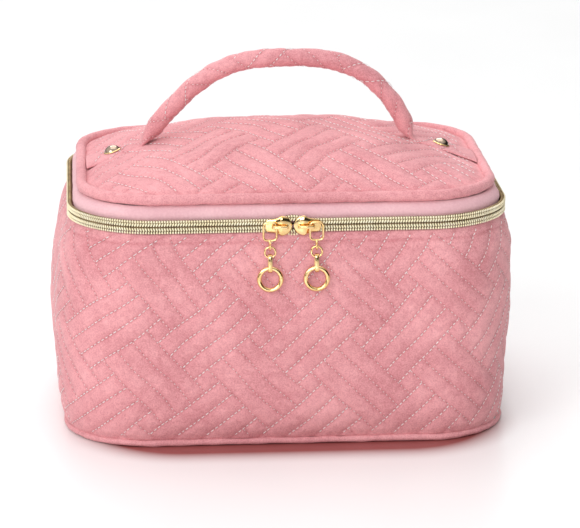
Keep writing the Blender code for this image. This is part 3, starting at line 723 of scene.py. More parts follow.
rows_z = np.concatenate([np.linspace(3.3, 96.0, 98), np.linspace(96.6, WALL_TOP, 14)])
run_grid, z_grid = np.meshgrid(np.arange(COLUMNS) * LAP / COLUMNS, rows_z)
face, face_normal = wall_face(run_grid, z_grid)
spots = np.stack([cloth_run(run_grid), z_grid], -1)
seam_gap = wall_quilt.distance(spots[..., 0], z_grid)
seam_gap = np.minimum(seam_gap, np.abs(np.abs(spots[..., 0]) - LAP / 2) + 0.2)
edge = np.clip((z_grid - 3.3) / 3.0, 0, 1)
hem_lift, hem_seam = hem(run_grid, z_grid)
lift = puff(seam_gap, face, 43) * (0.35 + 0.65 * edge) * np.where(z_grid > HEM_Z, 0.55, 1.0) + hem_lift
outer = face + face_normal * lift[..., None]
# Painted shade along every seam and along the hem's topstitching groove.
seam_shade = np.maximum(seam_shade_of(seam_gap), 0.8 * np.exp(-(((z_grid - hem_seam) / 0.7) ** 2)))

plan_out = unit(face_normal * np.array([1, 1, 0]))
turned = []
for angle in np.linspace(0, math.pi, 9)[1:]:
    turned.append(outer[-1] - plan_out[-1] * 1.15 * (1 - math.cos(angle))
        + np.array([0, 0, 1.15 * math.sin(angle)]))
turned += [turned[-1] - np.array([0, 0, d]) for d in (1.5, 3.5, 6.0)]
tucked = [outer[0] - plan_out[0] * a - np.array([0, 0, b]) for a, b in ((2.6, 0.9), (1.2, 0.75), (0.4, 0.35))]
strip = np.concatenate([np.stack(tucked), outer, np.stack(turned)])
# The three rows tucked under at the foot get full painted shade; the turned-in top gets none.
strip_seam_shade = np.concatenate([np.full((3, COLUMNS), 1.0) * np.array([1, 1, 0.9])[:, None], seam_shade,
    np.zeros((len(turned), COLUMNS))])
wall = piece("quilted_wall_velvet", strip, grid_quads(len(strip), COLUMNS), velvet, {"seam_shade": strip_seam_shade})
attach(wall, "bag")
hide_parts("quilted_wall")
print("wall faces", len(wall.data.polygons))

# %% [markdown]
# ## Stitching
# Each seam is a row of short threads with a needle hole in every gap. A thread is a small tapered
# bead that sits in the valley, and a hole is a small deep rose disc, painted shade for the shadow
# inside it. On velvet the seams that run with the nap stay bright, while across the nap the pile
# closes over them, so those get shorter, thinner threads and larger painted holes.
# %% Threads in a seam
STITCH = 2.4


def beads(start, stop, normal, width, height):
    """Points and faces of many small tapered threads from start to stop."""
    way = unit(stop - start)
    side = unit(np.cross(way, normal))
    out = np.cross(side, way)
    rings = []
    for t, size, rise in ((0.0, 0.45, -0.5), (0.28, 1.0, 0.6), (0.72, 1.0, 0.6), (1.0, 0.45, -0.5)):
        middle = start + (stop - start) * t + out * (height * rise)[:, None]
        for a, b in ((1, 0), (0, 1), (-1, 0), (0, -1)):
            rings.append(middle + (side * a + out * b * 0.8) * (width * size / 2)[:, None])
    points = np.stack(rings, 1)
    one = np.concatenate([grid_quads(4, 4), [[0, 1, 2, 3], [15, 14, 13, 12]]])
    quads = (one[None] + np.arange(len(points))[:, None, None] * 16).reshape(-1, 4)
    return points.reshape(-1, 3), quads


def dots(centre, normal, radius):
    """Small six-sided discs that lie on the cloth."""
    side = unit(np.cross(normal, np.array([0.3, 0.1, 1.0])))
    other = np.cross(normal, side)
    turn = np.arange(6) * math.pi / 3
    points = centre[:, None] + (side[:, None] * np.cos(turn)[None, :, None]
        + other[:, None] * np.sin(turn)[None, :, None]) * radius[:, None, None]
    one = np.array([[0, 1, 2, 3], [0, 3, 4, 5]])
    return points.reshape(-1, 3), (one[None] + np.arange(len(points))[:, None, None] * 6).reshape(-1, 4)


def seam_lines(quilt, low, high):
    """Every plank seam that may cross a patch of cloth, as grid lines."""
    corners = np.array([(u, v) for u in (low[0], 0, high[0]) for v in (low[1], high[1])], float)
    p, q = quilt.grid(corners[:, 0], corners[:, 1])
    i = np.arange(math.floor((p + q).min() / 8) - 1, math.ceil((p + q).max() / 8) + 2)
    j = np.arange(math.floor((p - q).min() / 8) - 1, math.ceil((p - q).max() / 8) + 2)
    base = np.array([(4 * (a + b), 4 * (a - b)) for a in i for b in j], float)
    seams = np.array(PLANK_SEAMS, float)
    return (base[:, None, [0, 1, 0, 1]] + seams[None]).reshape(-1, 4), np.tile(np.arange(8) < 4, len(base))


def sew(name, quilt, low, high, surface, inside, bright_first, seed, body=None):
    """Threads and painted-shade discs for needle holes along all the seams of a panel; returns the piece."""
    lines, first = seam_lines(quilt, low, high)
    draw = random(seed)
    count = int(round(5 * 8.4 / STITCH))
    step = np.arange(count)
    bright = (first == bright_first)[:, None] * np.ones(count, bool)
    span = np.where(bright, 0.66, 0.40) * draw.uniform(0.88, 1.1, bright.shape)
    begin = (step + 0.2 + draw.uniform(-0.04, 0.04, bright.shape)) / count
    finish_at = begin + span / count
    hole_at = (step + 0.02) / count * np.ones_like(begin)

    def on_cloth(t):
        p = lines[:, None, 0] + (lines[:, None, 2] - lines[:, None, 0]) * t
        q = lines[:, None, 1] + (lines[:, None, 3] - lines[:, None, 1]) * t
        return quilt.cloth(p.ravel(), q.ravel())

    a, b, h = on_cloth(begin), on_cloth(finish_at), on_cloth(hole_at)
    keep = inside(*a) & inside(*b)
    (pa, na), (pb, nb) = surface(a[0][keep], a[1][keep]), surface(b[0][keep], b[1][keep])
    shine = bright.ravel()[keep]
    normal = unit(na + nb)
    width = np.where(shine, 0.44, 0.28) * draw.uniform(0.8, 1.15, len(pa))
    height = np.full(len(pa), 0.12)
    rise = np.where(shine, 0.34, 0.20)[:, None]
    threads, quads = beads(pa + na * rise, pb + nb * rise, normal, width, height)
    keep = inside(*h)
    ph, nh = surface(h[0][keep], h[1][keep])
    dull = ~bright.ravel()[keep]
    # Dark discs as painted shade in the needle holes; larger across the nap.
    holes, hole_quads = dots(ph + nh * 0.30, nh, np.where(dull, 0.21, 0.14))
    made = piece(name, np.concatenate([threads, holes]),
        np.concatenate([quads, hole_quads + len(threads)]), [silver_thread, needle_hole_shade])
    made.data.polygons.foreach_set("material_index", np.r_[np.zeros(len(quads), np.int32),
        np.ones(len(hole_quads), np.int32)])
    if body:
        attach(made, body)
    print(name, len(pa), "threads,", len(ph), "holes")
    return made


def on_wall(u, v):
    return (np.abs(u) < LAP / 2 - 0.5) & (v > 4.6) & (v < WALL_TOP - 0.3)


def wall_thread_bed(u, v):
    spot, normal = wall_face(u, v)
    return spot + normal * (0.15 + hem(np.mod(u, LAP), v)[0])[:, None], normal


sew("wall_stitching", wall_quilt, (-LAP / 2, 0), (LAP / 2, 104), wall_thread_bed, on_wall, True, 60, "bag")

# %% [markdown]
# The hem's topstitching is in thread dyed to match, pulled deep into the fold.
# %% Hem topstitching
hem_run = np.arange(0, LAP - 1, 3.1)


def hem_spot(run):
    z = HEM_Z + 0.25 * soft_noise(run[:, None], 30, 51)
    spot, normal = wall_face(run, z)
    return spot + normal * 0.12, normal


(hem_a, hem_n), (hem_b, _) = hem_spot(hem_run - 0.95), hem_spot(hem_run + 0.95)
hem_points, hem_quads = beads(hem_a, hem_b, hem_n, np.full(len(hem_a), 0.5), np.full(len(hem_a), 0.15))
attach(piece("hem_topstitching", hem_points, hem_quads, rose_thread), "bag")
print("hem threads", len(hem_a))

# %% [markdown]
# ## Base
# A thin welt, velvet folded over a cord, is caught in the seam between wall and base. The base is a
# flat velvet panel. It isn't seen when the bag stands, but it is when it is picked up.
# %% Welt and base panel
def circle_section(radius, centre=(0.0, 0.0), count=12, turn=0.0):
    t = np.arange(count) * 2 * math.pi / count + turn
    return np.stack([centre[0] + radius * np.cos(t), centre[1] + radius * np.sin(t)], -1)


def closed_ring(name, section, half, radius, columns, finish, body, nodes, wobble=0.0,
        seed=0, bow=0.0, attributes=(), sunk=False):
    """A section swept all the way round, as one closed piece; sunk follows the wall's drawn-in side."""
    runs = np.arange(columns) * LAP / columns
    points = ring_sweep(section, half, radius, runs, bow=bow)
    if wobble:
        middle = points.mean(1, keepdims=True)
        points = middle + (points - middle) * (1 + wobble * soft_noise(points, 9, seed))[..., None]
        points[..., 2] += wobble * 1.2 * soft_noise(points[..., :2].mean(1), 24, seed + 1)[:, None]
    if sunk:
        points = slumped(points, points[..., 2])
    quads = grid_quads(columns + 1, len(section))[:, ::-1] % (columns * len(section))
    extra = {"run": np.repeat(runs, len(section))} if "run" in attributes else None
    made = piece(name, points, quads, finish, extra)
    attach(made, body)
    if nodes:
        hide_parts(*nodes)
    return made


welt = closed_ring("base_welt_velvet", circle_section(1.55, (0, 1.6)), (106.4, 77.3), 39.5, 480, velvet,
    "bag", ("base_welt",), 0.10, 70, sunk=True)


def flat_panel(name, half, radius, levels, columns, finish, body):
    """A thin level panel: rings from its middle out over its top and back under; levels are (share, z)."""
    runs = np.arange(columns) * LAP / columns
    rings = []
    for share, z in levels:
        spot = walk(runs, half[0] * share, half[1] * share, radius * share)[0]
        rings.append(np.concatenate([spot, np.full((columns, 1), float(z))], -1))
    points = np.stack(rings)
    points = slumped(points, points[..., 2])
    points[..., 2] += 0.12 * soft_noise(points[..., :2], 26,
        77) * (np.array([s for s, _ in levels]) < 0.97)[:, None]
    count = points.shape[0] * columns
    flat = np.concatenate([points.reshape(-1, 3), points[0].mean(0)[None], points[-1].mean(0)[None]])
    quads = np.concatenate([grid_quads(len(levels), columns)[:, ::-1],
        fan_quads(np.arange(columns), count), fan_quads(np.arange(columns) + count - columns, count + 1,
        True)])
    made = piece(name, flat, quads, finish)
    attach(made, body)
    return made


base_levels = [(0.05, 2.4), (0.35, 2.4), (0.65, 2.4), (0.9, 2.4), (0.985, 2.3), (1.0, 1.7), (0.995, 0.8),
    (0.975, 0.3), (0.9, 0.12), (0.65, 0.15), (0.35, 0.15), (0.05, 0.15)]
base = flat_panel("base_panel_velvet", (104.4, 75.4), 37.5, base_levels, 240, velvet, "bag")
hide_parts("base_panel")
print("base made")

# %% [markdown]
# ## Zip tapes and bindings
# Both zip tapes are strips of ribbed mauve cloth. The lower one rises from inside the wall's hem. The
# upper one leans in from the coil to the lid's seam and is the pale band under the piping. Each
# is swept with its own small section, so it has a real thickness and rounded edges.
# %% Tapes
def strip_section(line, thickness):
    """A closed section that follows a line of (out, height) points, thickness deep to the inside."""
    line = np.asarray(line, float)
    along = unit(np.gradient(line, axis=0))
    inward = np.stack([-along[:, 1], along[:, 0]], -1)
    inner = line + inward * thickness
    tip = (line[-1] + inner[-1]) / 2 + along[-1] * thickness * 0.35
    foot = (line[0] + inner[0]) / 2 - along[0] * thickness * 0.35
    return np.concatenate([line, tip[None], inner[::-1], foot[None]])


def open_strip(name, line, thickness, half, radius, step, finish, body, nodes):
    runs, length = zip_runs(step)
    section = strip_section(line, thickness)
    if len(section) % 2:
        section = np.insert(section, 1, (section[0] + section[1]) / 2, axis=0)
    points = ring_sweep(section, half, radius, runs)
    points += (soft_noise(points, 15, 81) * 0.10)[..., None] * np.array([1, 1, 0.4])
    flat, quads = ends(points, grid_quads(len(runs), len(section))[:, ::-1])
    reach = np.r_[np.repeat(length, len(section)), length[0], length[-1]]
    made = piece(name, flat, quads, finish, {"run": reach})
    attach(made, body)
    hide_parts(*nodes)
    return made, length[-1]


lower_line = [(-2.9, 96.2), (-2.9, 99.0), (-2.9, 102.0), (-2.9, 104.6), (-2.9, 106.2), (-2.9, 107.3)]
lower_tape, tape_length = open_strip("zip_tape_lower_cloth", lower_line, 0.55, ZIP_HALF, ZIP_RADIUS, 1.6,
    tape_cloth, "bag", ("zip_tape_lower",))
upper_line = [(-2.7, 108.7), (-2.5, 110.2), (-2.2, 111.6), (-2.4, 112.9), (-3.2, 114.3), (-4.6, 115.6),
    (-6.4, 116.7)]
upper_tape, _ = open_strip("zip_tape_upper_cloth", upper_line, 0.55, ZIP_HALF, ZIP_RADIUS, 1.6,
    tape_cloth, "lid", ("zip_tape_upper",))
print("zip tape", round(tape_length), "mm long")

# %% Bindings
def binding(name, half, radius, low, high, body, node):
    line = [(0, low), (0.12, low + 0.2 * (high - low)), (0.2, (low + high) / 2),
        (0.12, high - 0.2 * (high - low)), (0, high)]
    section = strip_section(line, 0.6)
    return closed_ring(name, section, half, radius, 480, tape_cloth, body, (node,), 0.0, 0,
        attributes=("run",))


binding("mouth_binding_cloth", (100.0, 77.2), 37.4, 96.2, 102.8, "bag", "mouth_binding")
binding("lid_binding_cloth", (96.3, 73.4), 36.1, 112.4, 115.8, "lid", "lid_binding")
print("bindings made")

# %% [markdown]
# ## Zip coil
# Each row of the zip is one plastic filament wound into a flattened spiral and sewn to its tape. The
# two spirals are half a turn apart so that their loops mesh. Winding real spirals gives the
# twinkling rope of teeth, which a textured strip can't. The rows part around the two sliders.
# %% Coils
PITCH = 1.25


def parted(x, y):
    """How far each row is pushed from the middle line, near the sliders' noses."""
    t = np.clip(1 - np.abs(x) / 9.0, 0, 1)
    return np.where(y < 0, 1.75 * t * t * (3 - 2 * t), 0)


def coil(name, middle_z, sign, body, node):
    runs, length = zip_runs(PITCH / 12)
    turn = length / PITCH * 2 * math.pi + (math.pi if sign > 0 else 0)
    spot, out = walk(runs, ZIP_HALF[0] - 1.0, ZIP_HALF[1] - 1.0, ZIP_RADIUS - 1.0)
    along = unit(np.gradient(spot, axis=0))
    flat = np.sign(np.sin(turn)) * np.abs(np.sin(turn)) ** 0.8
    depth = 0.75 * np.cos(turn) + 0.12
    lean = 0.22 * np.sin(turn)
    away = parted(spot[:, 0], spot[:, 1]) * sign
    path = np.concatenate([spot + out * depth[:, None] + along * lean[:, None],
        (middle_z + away + sign * -1.5 * flat)[:, None]], -1)
    flat_points, quads = tube(path, 0.36, 0.26, np.concatenate([along, np.zeros((len(along), 1))], -1),
        around=6)
    # The spiral gets the painted-shade copy, so the gaps between the crowns read as shadow.
    made = piece(name, flat_points, quads, coil_shade)
    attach(made, body)
    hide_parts(node)
    print(name, round(length[-1] / PITCH), "turns")


coil("zip_coil_lower_spiral", ZIP_Z - 1.50, -1, "bag", "zip_coil_lower")
coil("zip_coil_upper_spiral", ZIP_Z + 1.50, 1, "lid", "zip_coil_upper")

# %% [markdown]
# A plated zip shines on the crown of each loop, and a row of pale thread holds the coil to its tape.
# Each side has one row of slanted crowns near the middle and one row of stitches at its edge, a grain
# to every turn, in the coil's cream. Between them the spiral shows in a dark copy of that colour: painted
# shade.
# %% Crowns and coil stitching
def grains(name, z, half_wide, half_long, slant, proud, body):
    runs = zip_runs(PITCH)[0][4:-4]
    spot, out = walk(runs, ZIP_HALF[0] + proud, ZIP_HALF[1] + proud, ZIP_RADIUS + proud)
    along = np.concatenate([unit(np.gradient(spot, axis=0)), np.zeros((len(spot), 1))], -1)
    away = parted(spot[:, 0], spot[:, 1]) * np.sign(z)
    middle = np.concatenate([spot, (ZIP_Z + z + away)[:, None]], -1)
    out = np.concatenate([out, np.zeros((len(out), 1))], -1)
    tilt = np.array([0, 0, half_long])
    lean = along * slant * np.sign(z)
    points, quads = beads(middle - tilt - lean, middle + tilt + lean, out,
        np.full(len(middle), 2 * half_wide), np.full(len(middle), 0.16))
    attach(piece(name, points, quads, coil_gold), body)


for side_name, sign, side_body in (("lower", -1, "bag"), ("upper", 1, "lid")):
    grains("coil_crowns_" + side_name, sign * 1.12, 0.44, 0.80, 0.34, 0.20, side_body)
    grains("coil_stitching_" + side_name, sign * 2.62, 0.47, 0.56, 0.10, 0.22, side_body)
print("crowns and coil stitching made")

# %% [markdown]
# ## Hinge
# Across the back the zip stops short and a strip of velvet joins bag and lid. It crosses the joint as
# one mesh, which is not attached to bag or lid.
# %% Hinge strip
hinge_line = [(79.4, 100.6), (80.2, 102.6), (80.75, 104.6), (81.0, 106.4), (81.1, 108.0), (80.8, 109.8),
    (80.2, 111.6), (78.9, 113.4), (77.3, 115.0), (75.4, 116.6)]
hinge_section = strip_section([(y, z) for y, z in hinge_line], 0.9)
hinge_x = np.linspace(-57.0, 57.0, 96)
hinge_points = np.empty((len(hinge_x), len(hinge_section), 3))
hinge_points[..., 0] = hinge_x[:, None]
hinge_points[..., 1:] = hinge_section[None]
hinge_points[..., 1] += 0.15 * soft_noise(hinge_points, 12, 90)
if len(hinge_section) % 2:
    hinge_points = np.insert(hinge_points, 1, (hinge_points[:, 0] + hinge_points[:, 1]) / 2, axis=1)
hinge_flat, hinge_quads = ends(hinge_points, grid_quads(len(hinge_x), hinge_points.shape[1]))
hinge_strip = piece("hinge_strip_velvet", hinge_flat, hinge_quads, velvet)
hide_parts("hinge_leaf_lower", "hinge_leaf_upper")
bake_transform(hinge_strip)
print("hinge strip 114 mm long")

# %% [markdown]
# ## Lid
# The lid is a quilted panel that domes up from a piped seam. Its height falls away slowly from the middle
# and quickly near the edge, as wadding does under a stretched cover.
# %% Dome shape
DOME_EDGE_Z, DOME_RISE, DOME_POWER = 119.2, 20.0, 1.6
DOME_HALF, DOME_RADIUS = (94.1, 70.4), 34.0


def share_of(x, y, half=DOME_HALF, radius=DOME_RADIUS):
    """How far out a point of the lid lies: 0 in the middle, 1 at the panel's edge."""
    ax, ay = np.abs(x), np.abs(y)
    low, high = np.zeros(ax.shape), np.full(ax.shape, 1.3)
    for _ in range(26):
        k = (low + high) / 2
        qx, qy = np.maximum(ax - (half[0] - radius) * k, 0), np.maximum(ay - (half[1] - radius) * k, 0)
        within = np.hypot(qx, qy) <= radius * k
        low, high = np.where(within, low, k), np.where(within, k, high)
    return high


def dome_base(x, y):
    k = share_of(x, y)
    return DOME_EDGE_Z + DOME_RISE * (1 - k ** DOME_POWER)


lid_x, lid_y = np.meshgrid(np.linspace(-94.1, 94.1, 40), np.linspace(-70.4, 70.4, 30))
lid_inside = share_of(lid_x, lid_y) <= 1.02
net_z2 = dome_base(lid_x, lid_y)
slope_y, slope_x = np.gradient(net_z2, 140.8 / 29, 188.2 / 39)
lid_normals = unit(np.stack([-slope_x, -slope_y, np.ones_like(slope_x)], -1))
all_quads = grid_quads(30, 40, wrap=False)
lid_quads = all_quads[lid_inside.ravel()[all_quads].all(1)]
used = np.unique(lid_quads)
count_round = np.bincount(lid_quads.ravel(), minlength=1200)[used]
place_of = np.zeros(1200, int)
place_of[used] = np.arange(len(used))
lid_net = np.stack([lid_x, lid_y, net_z2], -1).reshape(-1, 3)[used]
rise = swollen("lid_net", lid_net, place_of[lid_quads], count_round < 4, lid_normals.reshape(-1, 3)[used],
    1.2)
lid_swell = np.zeros(1200)
lid_swell[used] = rise
lid_swell = lid_swell.reshape(30, 40)


def lid_face(x, y):
    """Place and normal of the cloth under the lid's planks."""
    e = 0.3
    slope = [(dome_base(x + e, y) - dome_base(x - e, y)) / (2 * e),
        (dome_base(x, y + e) - dome_base(x, y - e)) / (2 * e)]
    normal = unit(np.stack([-slope[0], -slope[1], np.ones_like(slope[0])], -1))
    spot = np.stack([x, y, dome_base(x, y)], -1)
    held = np.clip((1 - share_of(x, y)) / 0.15, 0, 1)
    slow = (soft_noise(spot, 40, 101) * 0.45 + soft_noise(spot, 17, 102) * 0.15) * held
    swell = sample(lid_swell, (y + 70.4) / 140.8 * 29, (x + 94.1) / 188.2 * 39)
    return spot + normal * (slow + swell)[..., None], normal


print("dome top at", DOME_EDGE_Z + DOME_RISE, "mm")

# %% Lid panel
LID_COLUMNS = 600
shares = np.concatenate([np.linspace(1.02, 0.9, 14), np.linspace(0.888, 0.03, 76)])
lid_runs = np.arange(LID_COLUMNS) * LAP / LID_COLUMNS
spot = walk(lid_runs[None], DOME_HALF[0] * shares[:, None], DOME_HALF[1] * shares[:, None],
    DOME_RADIUS * shares[:, None])[0]
face, face_normal = lid_face(spot[..., 0], spot[..., 1])
lid_gap = lid_quilt.distance(spot[..., 0], spot[..., 1])
edge = np.clip((1.0 - shares) / 0.05, 0, 1)[:, None]
lift = puff(lid_gap, face, 103) * 1.1 * (0.15 + 0.85 * edge)
points = (face + face_normal * lift[..., None]).reshape(-1, 3)
points = np.concatenate([points, points[-LID_COLUMNS:].mean(0)[None]])
lid_faces = np.concatenate([grid_quads(len(shares), LID_COLUMNS),
    fan_quads(np.arange(LID_COLUMNS) + (len(shares) - 1) * LID_COLUMNS, len(points) - 1)])
# The lid's stitched valleys carry the same painted shade.
lid_panel = piece("quilted_lid_velvet", points, lid_faces, velvet,
    {"seam_shade": np.append(seam_shade_of(lid_gap).ravel(), 0)})
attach(lid_panel, "lid")
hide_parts("quilted_lid")
print("lid faces", len(lid_panel.data.polygons))

# %% Lid stitching
def on_lid(x, y):
    return share_of(x, y) < 0.965


def lid_thread_bed(x, y):
    spot, normal = lid_face(x, y)
    return spot + normal * 0.15, normal


sew("lid_stitching", lid_quilt, (-95, -71), (95, 71), lid_thread_bed, on_lid, False, 110, "lid")

# %% [markdown]
# ## Piping
# The lid's seam is edged with a velvet-covered cord. It hides the raw edges of panel and tape, and gives
# the lid its firm outline. A little unevenness keeps it from looking extruded.
# %% Piping
piping = closed_ring("lid_piping_velvet", circle_section(2.5, (0, 0), 16) * np.array([1, 1.04])
    + np.array([0, 119.0]), (97.4, 73.7), 36.6, 600, velvet, "lid", ("lid_piping",), 0.05, 120)
print("piping made")

# %% [markdown]
# ## Handle
# The handle is one strip of quilted velvet. In the middle it is sewn into a soft tube over a cord. At
# each end it opens out flat, lies on the lid and is caught in the piping under a rivet. One
# section that changes from flat to round along one path makes it as a single piece, so the
# fold where the tube leaves the lid comes by itself.
# %% Handle path
REACH, FOOT_Z, RISE, ARCH_POWER, SHIFT, TOP_SHIFT = 64.5, 131.2, 39.5, 2.9, -1.8, 2.8


STRAP_END = 94.7


def arch(across):
    rise = 1 - np.abs(across) ** ARCH_POWER
    low = (1 - rise) ** 2
    return REACH * across + TOP_SHIFT * (1 - low) + SHIFT * low, FOOT_Z + RISE * rise


def strap_path(count=420):
    """The strap's middle line in x and z, and how flat it is there: 1 on the lid, 0 in the tube."""
    arch_x, arch_z = arch(np.sin(np.linspace(-1, 1, 161) * math.pi / 2 * 0.955))
    left_x = np.linspace(-STRAP_END, arch(-1.0)[0] - 2.0, 34)
    right_x = np.linspace(arch(1.0)[0] + 2.0, STRAP_END, 34)
    lie = [dome_base(x, np.zeros_like(x)) + 1.15 for x in (left_x, right_x)]
    x, z = np.concatenate([left_x, arch_x, right_x]), np.concatenate([lie[0], arch_z, lie[1]])
    length = np.concatenate([[0], np.cumsum(np.hypot(np.diff(x), np.diff(z)))])
    even = np.linspace(0, length[-1], count)
    x, z = np.interp(even, length, x), np.interp(even, length, z)
    blur = np.hanning(17) / np.hanning(17).sum()
    x, z = (np.convolve(np.pad(v, 8, mode="reflect", reflect_type="odd"), blur, "valid") for v in (x, z))
    flat = 1 - np.clip((z - (FOOT_Z - 2.4)) / 9.0, 0, 1)
    return even, x, z, flat * flat * (3 - 2 * flat)


strap_run, strap_x, strap_z, strap_flat = strap_path()
print("strap length, mm:", strap_run[-1].round(1))

# %% Handle cover
AROUND = 56
end_gap = STRAP_END - np.abs(strap_x)
fan_width = 5.6 + 7.8 * np.clip(1 - end_gap / 27.0, 0, 1) ** 1.15
half_wide = 4.7 * (1 - strap_flat) + fan_width * strap_flat
half_high = 4.35 * (1 - strap_flat) + 1.15 * strap_flat
handle_quilt = Quilt((0.6, 8.3, 8.2), (2.2, 8.2, -8.4), 130, 1.2)
tangent = unit(np.stack([np.gradient(strap_x), np.gradient(strap_z)], -1))
strap_normal = np.stack([-tangent[:, 1], tangent[:, 0]], -1)


def strap_face(run, turn, push=0.0):
    """A point of the strap's cover at a run and a turn round it, 0 at the front edge, 90 degrees on top."""
    at = [np.interp(run, strap_run, v) for v in (strap_x, strap_z, strap_flat, half_wide, half_high,
        strap_normal[:, 0], strap_normal[:, 1])]
    x, z, flat, wide, high, nx, nz = at
    c, s = np.cos(turn), np.sin(turn)
    power = 1 - 0.35 * flat
    c2, s2 = np.sign(c) * np.abs(c) ** power, np.sign(s) * np.abs(s) ** (1 + 0.25 * flat)
    across = -c2 * (wide + push)
    height = s2 * (high + push)
    seam = np.exp(-(((turn + math.pi / 2) / 0.5) ** 2)) * (1 - flat)
    height = height - seam * (0.05 + 0.10 * np.sin(run * 2 * math.pi / 4.6 + 1.2 * np.sin(run / 7.0)))
    point = np.stack([x + nx * height, across, z + nz * height], -1)
    drop = dome_base(point[..., 0], point[..., 1]) - dome_base(point[..., 0], point[..., 1] * 0)
    point[..., 2] += drop * flat
    return point


def strap_spot(run, turn):
    e = 0.01
    spot = strap_face(run, turn)
    normal = unit(np.cross(strap_face(run + 0.3, turn) - strap_face(run - 0.3, turn),
        strap_face(run, turn + e) - strap_face(run, turn - e)))
    return spot, normal


strap_grid, turn_grid = np.meshgrid(strap_run, np.arange(AROUND) * 2 * math.pi / AROUND - math.pi,
    indexing="ij")
spot, spot_normal = strap_spot(strap_grid, turn_grid)
outward = np.sign((spot_normal * (spot - spot.mean(1, keepdims=True))).sum(-1).mean())
strap_gap = handle_quilt.distance(strap_grid - 100, turn_grid * 4.5)
handle_flat = np.interp(strap_grid, strap_run, strap_flat)
lift = puff(strap_gap, spot, 131) * 0.42 - 0.25 + 0.22 * soft_noise(spot, 11, 132)
points = spot + spot_normal * outward * (lift * (1 - 0.5 * handle_flat))[..., None]
strap_points, strap_quads = ends(points, grid_quads(len(strap_run), AROUND)[:, ::(1 if outward > 0 else -1)])
# The handle's stitched valleys carry the same painted shade, a little weaker.
handle = piece("handle_velvet", strap_points, strap_quads, velvet,
    {"seam_shade": np.r_[seam_shade_of(strap_gap).ravel() * 0.9, 0, 0]})
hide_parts("handle_cover", "handle_tab_left", "handle_tab_right")
print("handle faces", len(handle.data.polygons))


def on_strap(u, v):
    return (np.abs(v) < 13.4) & (u + 100 > 3.5) & (u + 100 < strap_run[-1] - 3.5)


def strap_thread_bed(u, v):
    spot, normal = strap_spot(u + 100, v / 4.5)
    return spot - normal * outward * 0.22, normal * outward


handle_stitching = sew("handle_stitching", handle_quilt, (-100, -14), (140, 14), strap_thread_bed,
    on_strap, True, 140)
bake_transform(handle)
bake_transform(handle_stitching)

# %% [markdown]
# Inside the tube runs a soft twisted cord, which keeps the grip round. It is only seen if the cover is
# taken off, but it is a part of its own, so it is here.
# %% Handle cord
core = slice(int(len(strap_run) * 0.17), int(len(strap_run) * 0.83))
core_path = np.stack([strap_x[core], np.zeros_like(strap_x[core]), strap_z[core]], -1)
core_points, core_quads = tube(core_path, 3.0, 3.0, (0, 1, 0), around=18)
twist = np.arange(len(core_points) - 2) // 18 * 0.35 + (np.arange(len(core_points)
    - 2) % 18) * 2 * math.pi / 18 * 3
centre_line = np.r_[np.repeat(core_path, 18, axis=0), core_path[[0]], core_path[[-1]]]
core_points = centre_line + (core_points - centre_line) * (1 + 0.06 * np.r_[np.sin(twist), 0, 0])[:, None]
handle_cord = piece("handle_cord", core_points, core_quads, wadding)
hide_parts("handle_core")
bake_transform(handle_cord)
print("handle cord made")

# %% [markdown]
# ## Rivets
# Each end of the strap is held by a domed rivet in a gold rim; the dome's dark colour is a painted
# reflection of dark surroundings. A rivet is turned, so its outline is drawn once and spun. The dome's
# faces come first in the spun outline, so the second finish goes to those, and the fine step round
# the dome makes the rim.
# %% Rivets
SPOKES, DOME_STEPS = 48, 5


def lathe(profile, axis_point, axis, steps=SPOKES):
    """Spins an outline of (radius, height) pairs round an axis."""
    axis = unit(np.asarray(axis, float))
    side = unit(np.cross(axis, [0.0, 1.0, 0.0]))
    other = np.cross(axis, side)
    t = np.arange(steps) * 2 * math.pi / steps
    spoke = side * np.cos(t)[:, None] + other * np.sin(t)[:, None]
    profile = np.asarray(profile, float)
    rings = axis_point + spoke[None] * profile[:, None, None, 0] + axis * profile[:, None, None, 1]
    return ends(rings, grid_quads(len(profile), steps))


cap_outline = [(0.15, 2.75), (1.2, 2.62), (2.2, 2.25), (3.0, 1.7), (3.5, 1.05), (3.72, 0.55),
    (3.78, 0.42), (4.2, 0.40), (4.34, 0.22), (4.3, 0.02), (3.9, -0.12), (1.3, -0.15), (1.3, -8.9),
    (0.1, -9.0)]
for side, word in ((-1, "left"), (1, "right")):
    x = side * 79.7 + SHIFT
    share = abs(x) / DOME_HALF[0]
    lean = DOME_RISE * DOME_POWER * share ** (DOME_POWER - 1) / DOME_HALF[0]
    axis = unit(np.array([side * lean, 0, 1.0]))
    foot = np.array([x, 0, DOME_EDGE_Z + DOME_RISE * (1 - share ** DOME_POWER)]) + axis * 2.4
    cap = piece(f"rivet_cap_{word}_polished", *lathe(cap_outline, foot, axis), [gold, rivet_dark_reflection])
    # The dome's faces take the painted dark reflection; the rest of the rivet is gold.
    domed = np.zeros(len(cap.data.polygons), np.int32)
    domed[:DOME_STEPS * SPOKES] = 1
    tip = (len(cap_outline) - 1) * SPOKES
    domed[tip:tip + SPOKES // 2] = 1
    cap.data.polygons.foreach_set("material_index", domed)
    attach(cap, "lid")
    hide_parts(f"rivet_cap_{word}")
    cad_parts[f"rivet_back_{word}"].data.materials.clear()
    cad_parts[f"rivet_back_{word}"].data.materials.append(gold)
print("rivets made")

# %% [markdown]
# ## Sliders
# A slider is die cast: a domed shield over the coil, wide where it parts the rows and narrow at its tail,
# with a strap-like bridge standing on it. Rings of points along its length, each with its own
# half width and crown, give the rounded shield.
# %% Sliders
SHIELD_AT = np.array([0.4, 0.7, 1.3, 2.2, 3.4, 4.6, 5.4, 6.1, 7.0, 8.0, 9.4, 11.0, 12.2, 12.75, 12.95])
SHIELD_HALF = np.array([0.5, 1.5, 2.7, 3.7, 4.4, 4.75, 4.8, 4.45, 3.85, 3.45, 3.15, 3.0, 2.75, 2.2, 1.2])


